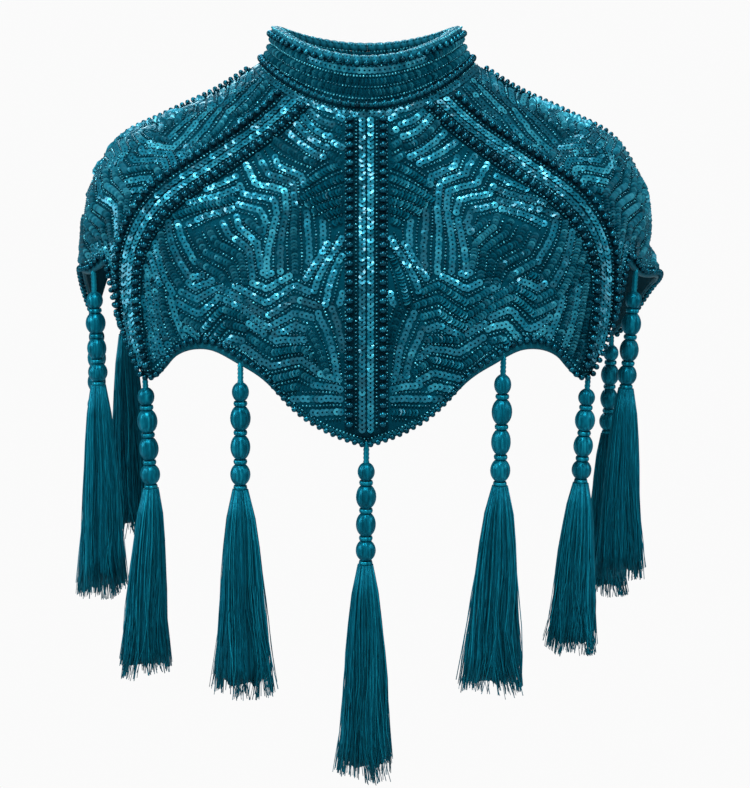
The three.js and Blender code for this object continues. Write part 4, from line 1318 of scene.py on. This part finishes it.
for tassel in TASSELS:
    stretch = tassel["balls"] / sum(ball["height"] + WRAP_HEIGHT for ball in BALLS)
    chain = [cord_part(tassel)]
    z = -tassel["cord"]
    for ball in BALLS:
        height = ball["height"] * stretch
        turn = rng.uniform(0, 2 * math.pi)
        frame_of_ball = np.array([[math.cos(turn), math.sin(turn), 0]]), np.array([[0, 0, 1.0]])
        for model, wide, tall, room, tone in (
            (silk_ball, ball["radius"], height * 0.53, height, rng.uniform(0.4, 0.6)),
            (wrap_turn, WRAP_RADIUS, WRAP_RADIUS * WRAP_TALLER, WRAP_HEIGHT * stretch, 0.62),
        ):
            at = np.array([[0, 0, z - room / 2]])
            size = np.array([[wide, wide, tall]])
            chain.append(sewn_copies(model, at, *frame_of_ball, np.array([tone]), size))
            z -= room
    name = tassel["name"]
    chain = joined_piece(
        f"tassel_chain_{name}", hung(chain, tassel), wrapped_silk
    )
    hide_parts(f"tassel_{name}")
    skirt = hung([core_part(tassel, z), *thread_parts(tassel, z)], tassel)
    joined_piece(f"tassel_skirt_{name}", skirt, floss_silk)


# The studio: a pale floor below the tassels that runs up to a pale sky, a small strong lamp high
# in front, and five large soft ones around. The floor and the sky are paler to the camera.
FLOOR_Z = -0.56
PALE = 0.96
DIM_SKY = (0.16, 0.18, 0.19, 1)
LIGHT_COLOUR = (0.82, 0.97, 1)
LIGHTS = named_rows(
    "name place size power",
    ("key", (-0.15, -1.05, 1.3), 0.42, 23),
    ("front", (0.2, -1.7, 0.1), 1.4, 7),
    ("left", (-1.6, -0.5, 0.5), 0.8, 19),
    ("right", (1.6, -0.5, 0.5), 0.9, 10),
    ("top", (0.1, 0.2, 1.4), 0.6, 13),
    ("back", (-0.4, 1.6, 0.9), 0.8, 14),
)
bpy.ops.object.select_all(action="DESELECT")
bpy.ops.mesh.primitive_circle_add(
    vertices=96, radius=30, fill_type="NGON", location=(0, 0, FLOOR_Z)
)
floor = bpy.context.object
floor.name = "floor"
floor_paint, tree, shader = new_finish(
    "floor_paint", Base_Color=(0.45, 0.45, 0.45, 1), Roughness=0.9, Specular_IOR_Level=0.1
)
pale = new_node(tree, "Emission", Color=(1, 1, 1, 1), Strength=PALE)
shown = new_node(tree, "MixShader")
wire(tree, new_node(tree, "LightPath"), "Is Camera Ray", shown, "Fac")
wire(tree, shader, "BSDF", shown, 1)
wire(tree, pale, "Emission", shown, 2)
wire(tree, shown, "Shader", tree.nodes["Material Output"], "Surface")
floor.data.materials.append(floor_paint)
for row in LIGHTS:
    lamp_data = bpy.data.lights.new(row["name"], "AREA")
    lamp_data.size = row["size"]
    lamp_data.energy = row["power"]
    lamp_data.color = LIGHT_COLOUR
    lamp = bpy.data.objects.new(row["name"], lamp_data)
    lamp.location = row["place"]
    aim = Vector((0, 0, -0.2)) - lamp.location
    lamp.rotation_euler = aim.to_track_quat("-Z", "Y").to_euler()
    bpy.context.scene.collection.objects.link(lamp)
world = bpy.data.worlds.new("studio")
world.use_nodes = True
tree = world.node_tree
sky = set_sockets(tree.nodes["Background"], Strength=1)
tint = new_node(tree, "Mix")
tint.data_type = "RGBA"
set_sockets(tint, A=DIM_SKY, B=(PALE, PALE, PALE, 1))
wire(tree, new_node(tree, "LightPath"), "Is Camera Ray", tint, "Factor")
wire(tree, tint, "Result", sky, "Color")
bpy.context.scene.world = world
bpy.context.scene.view_settings.view_transform = "Standard"
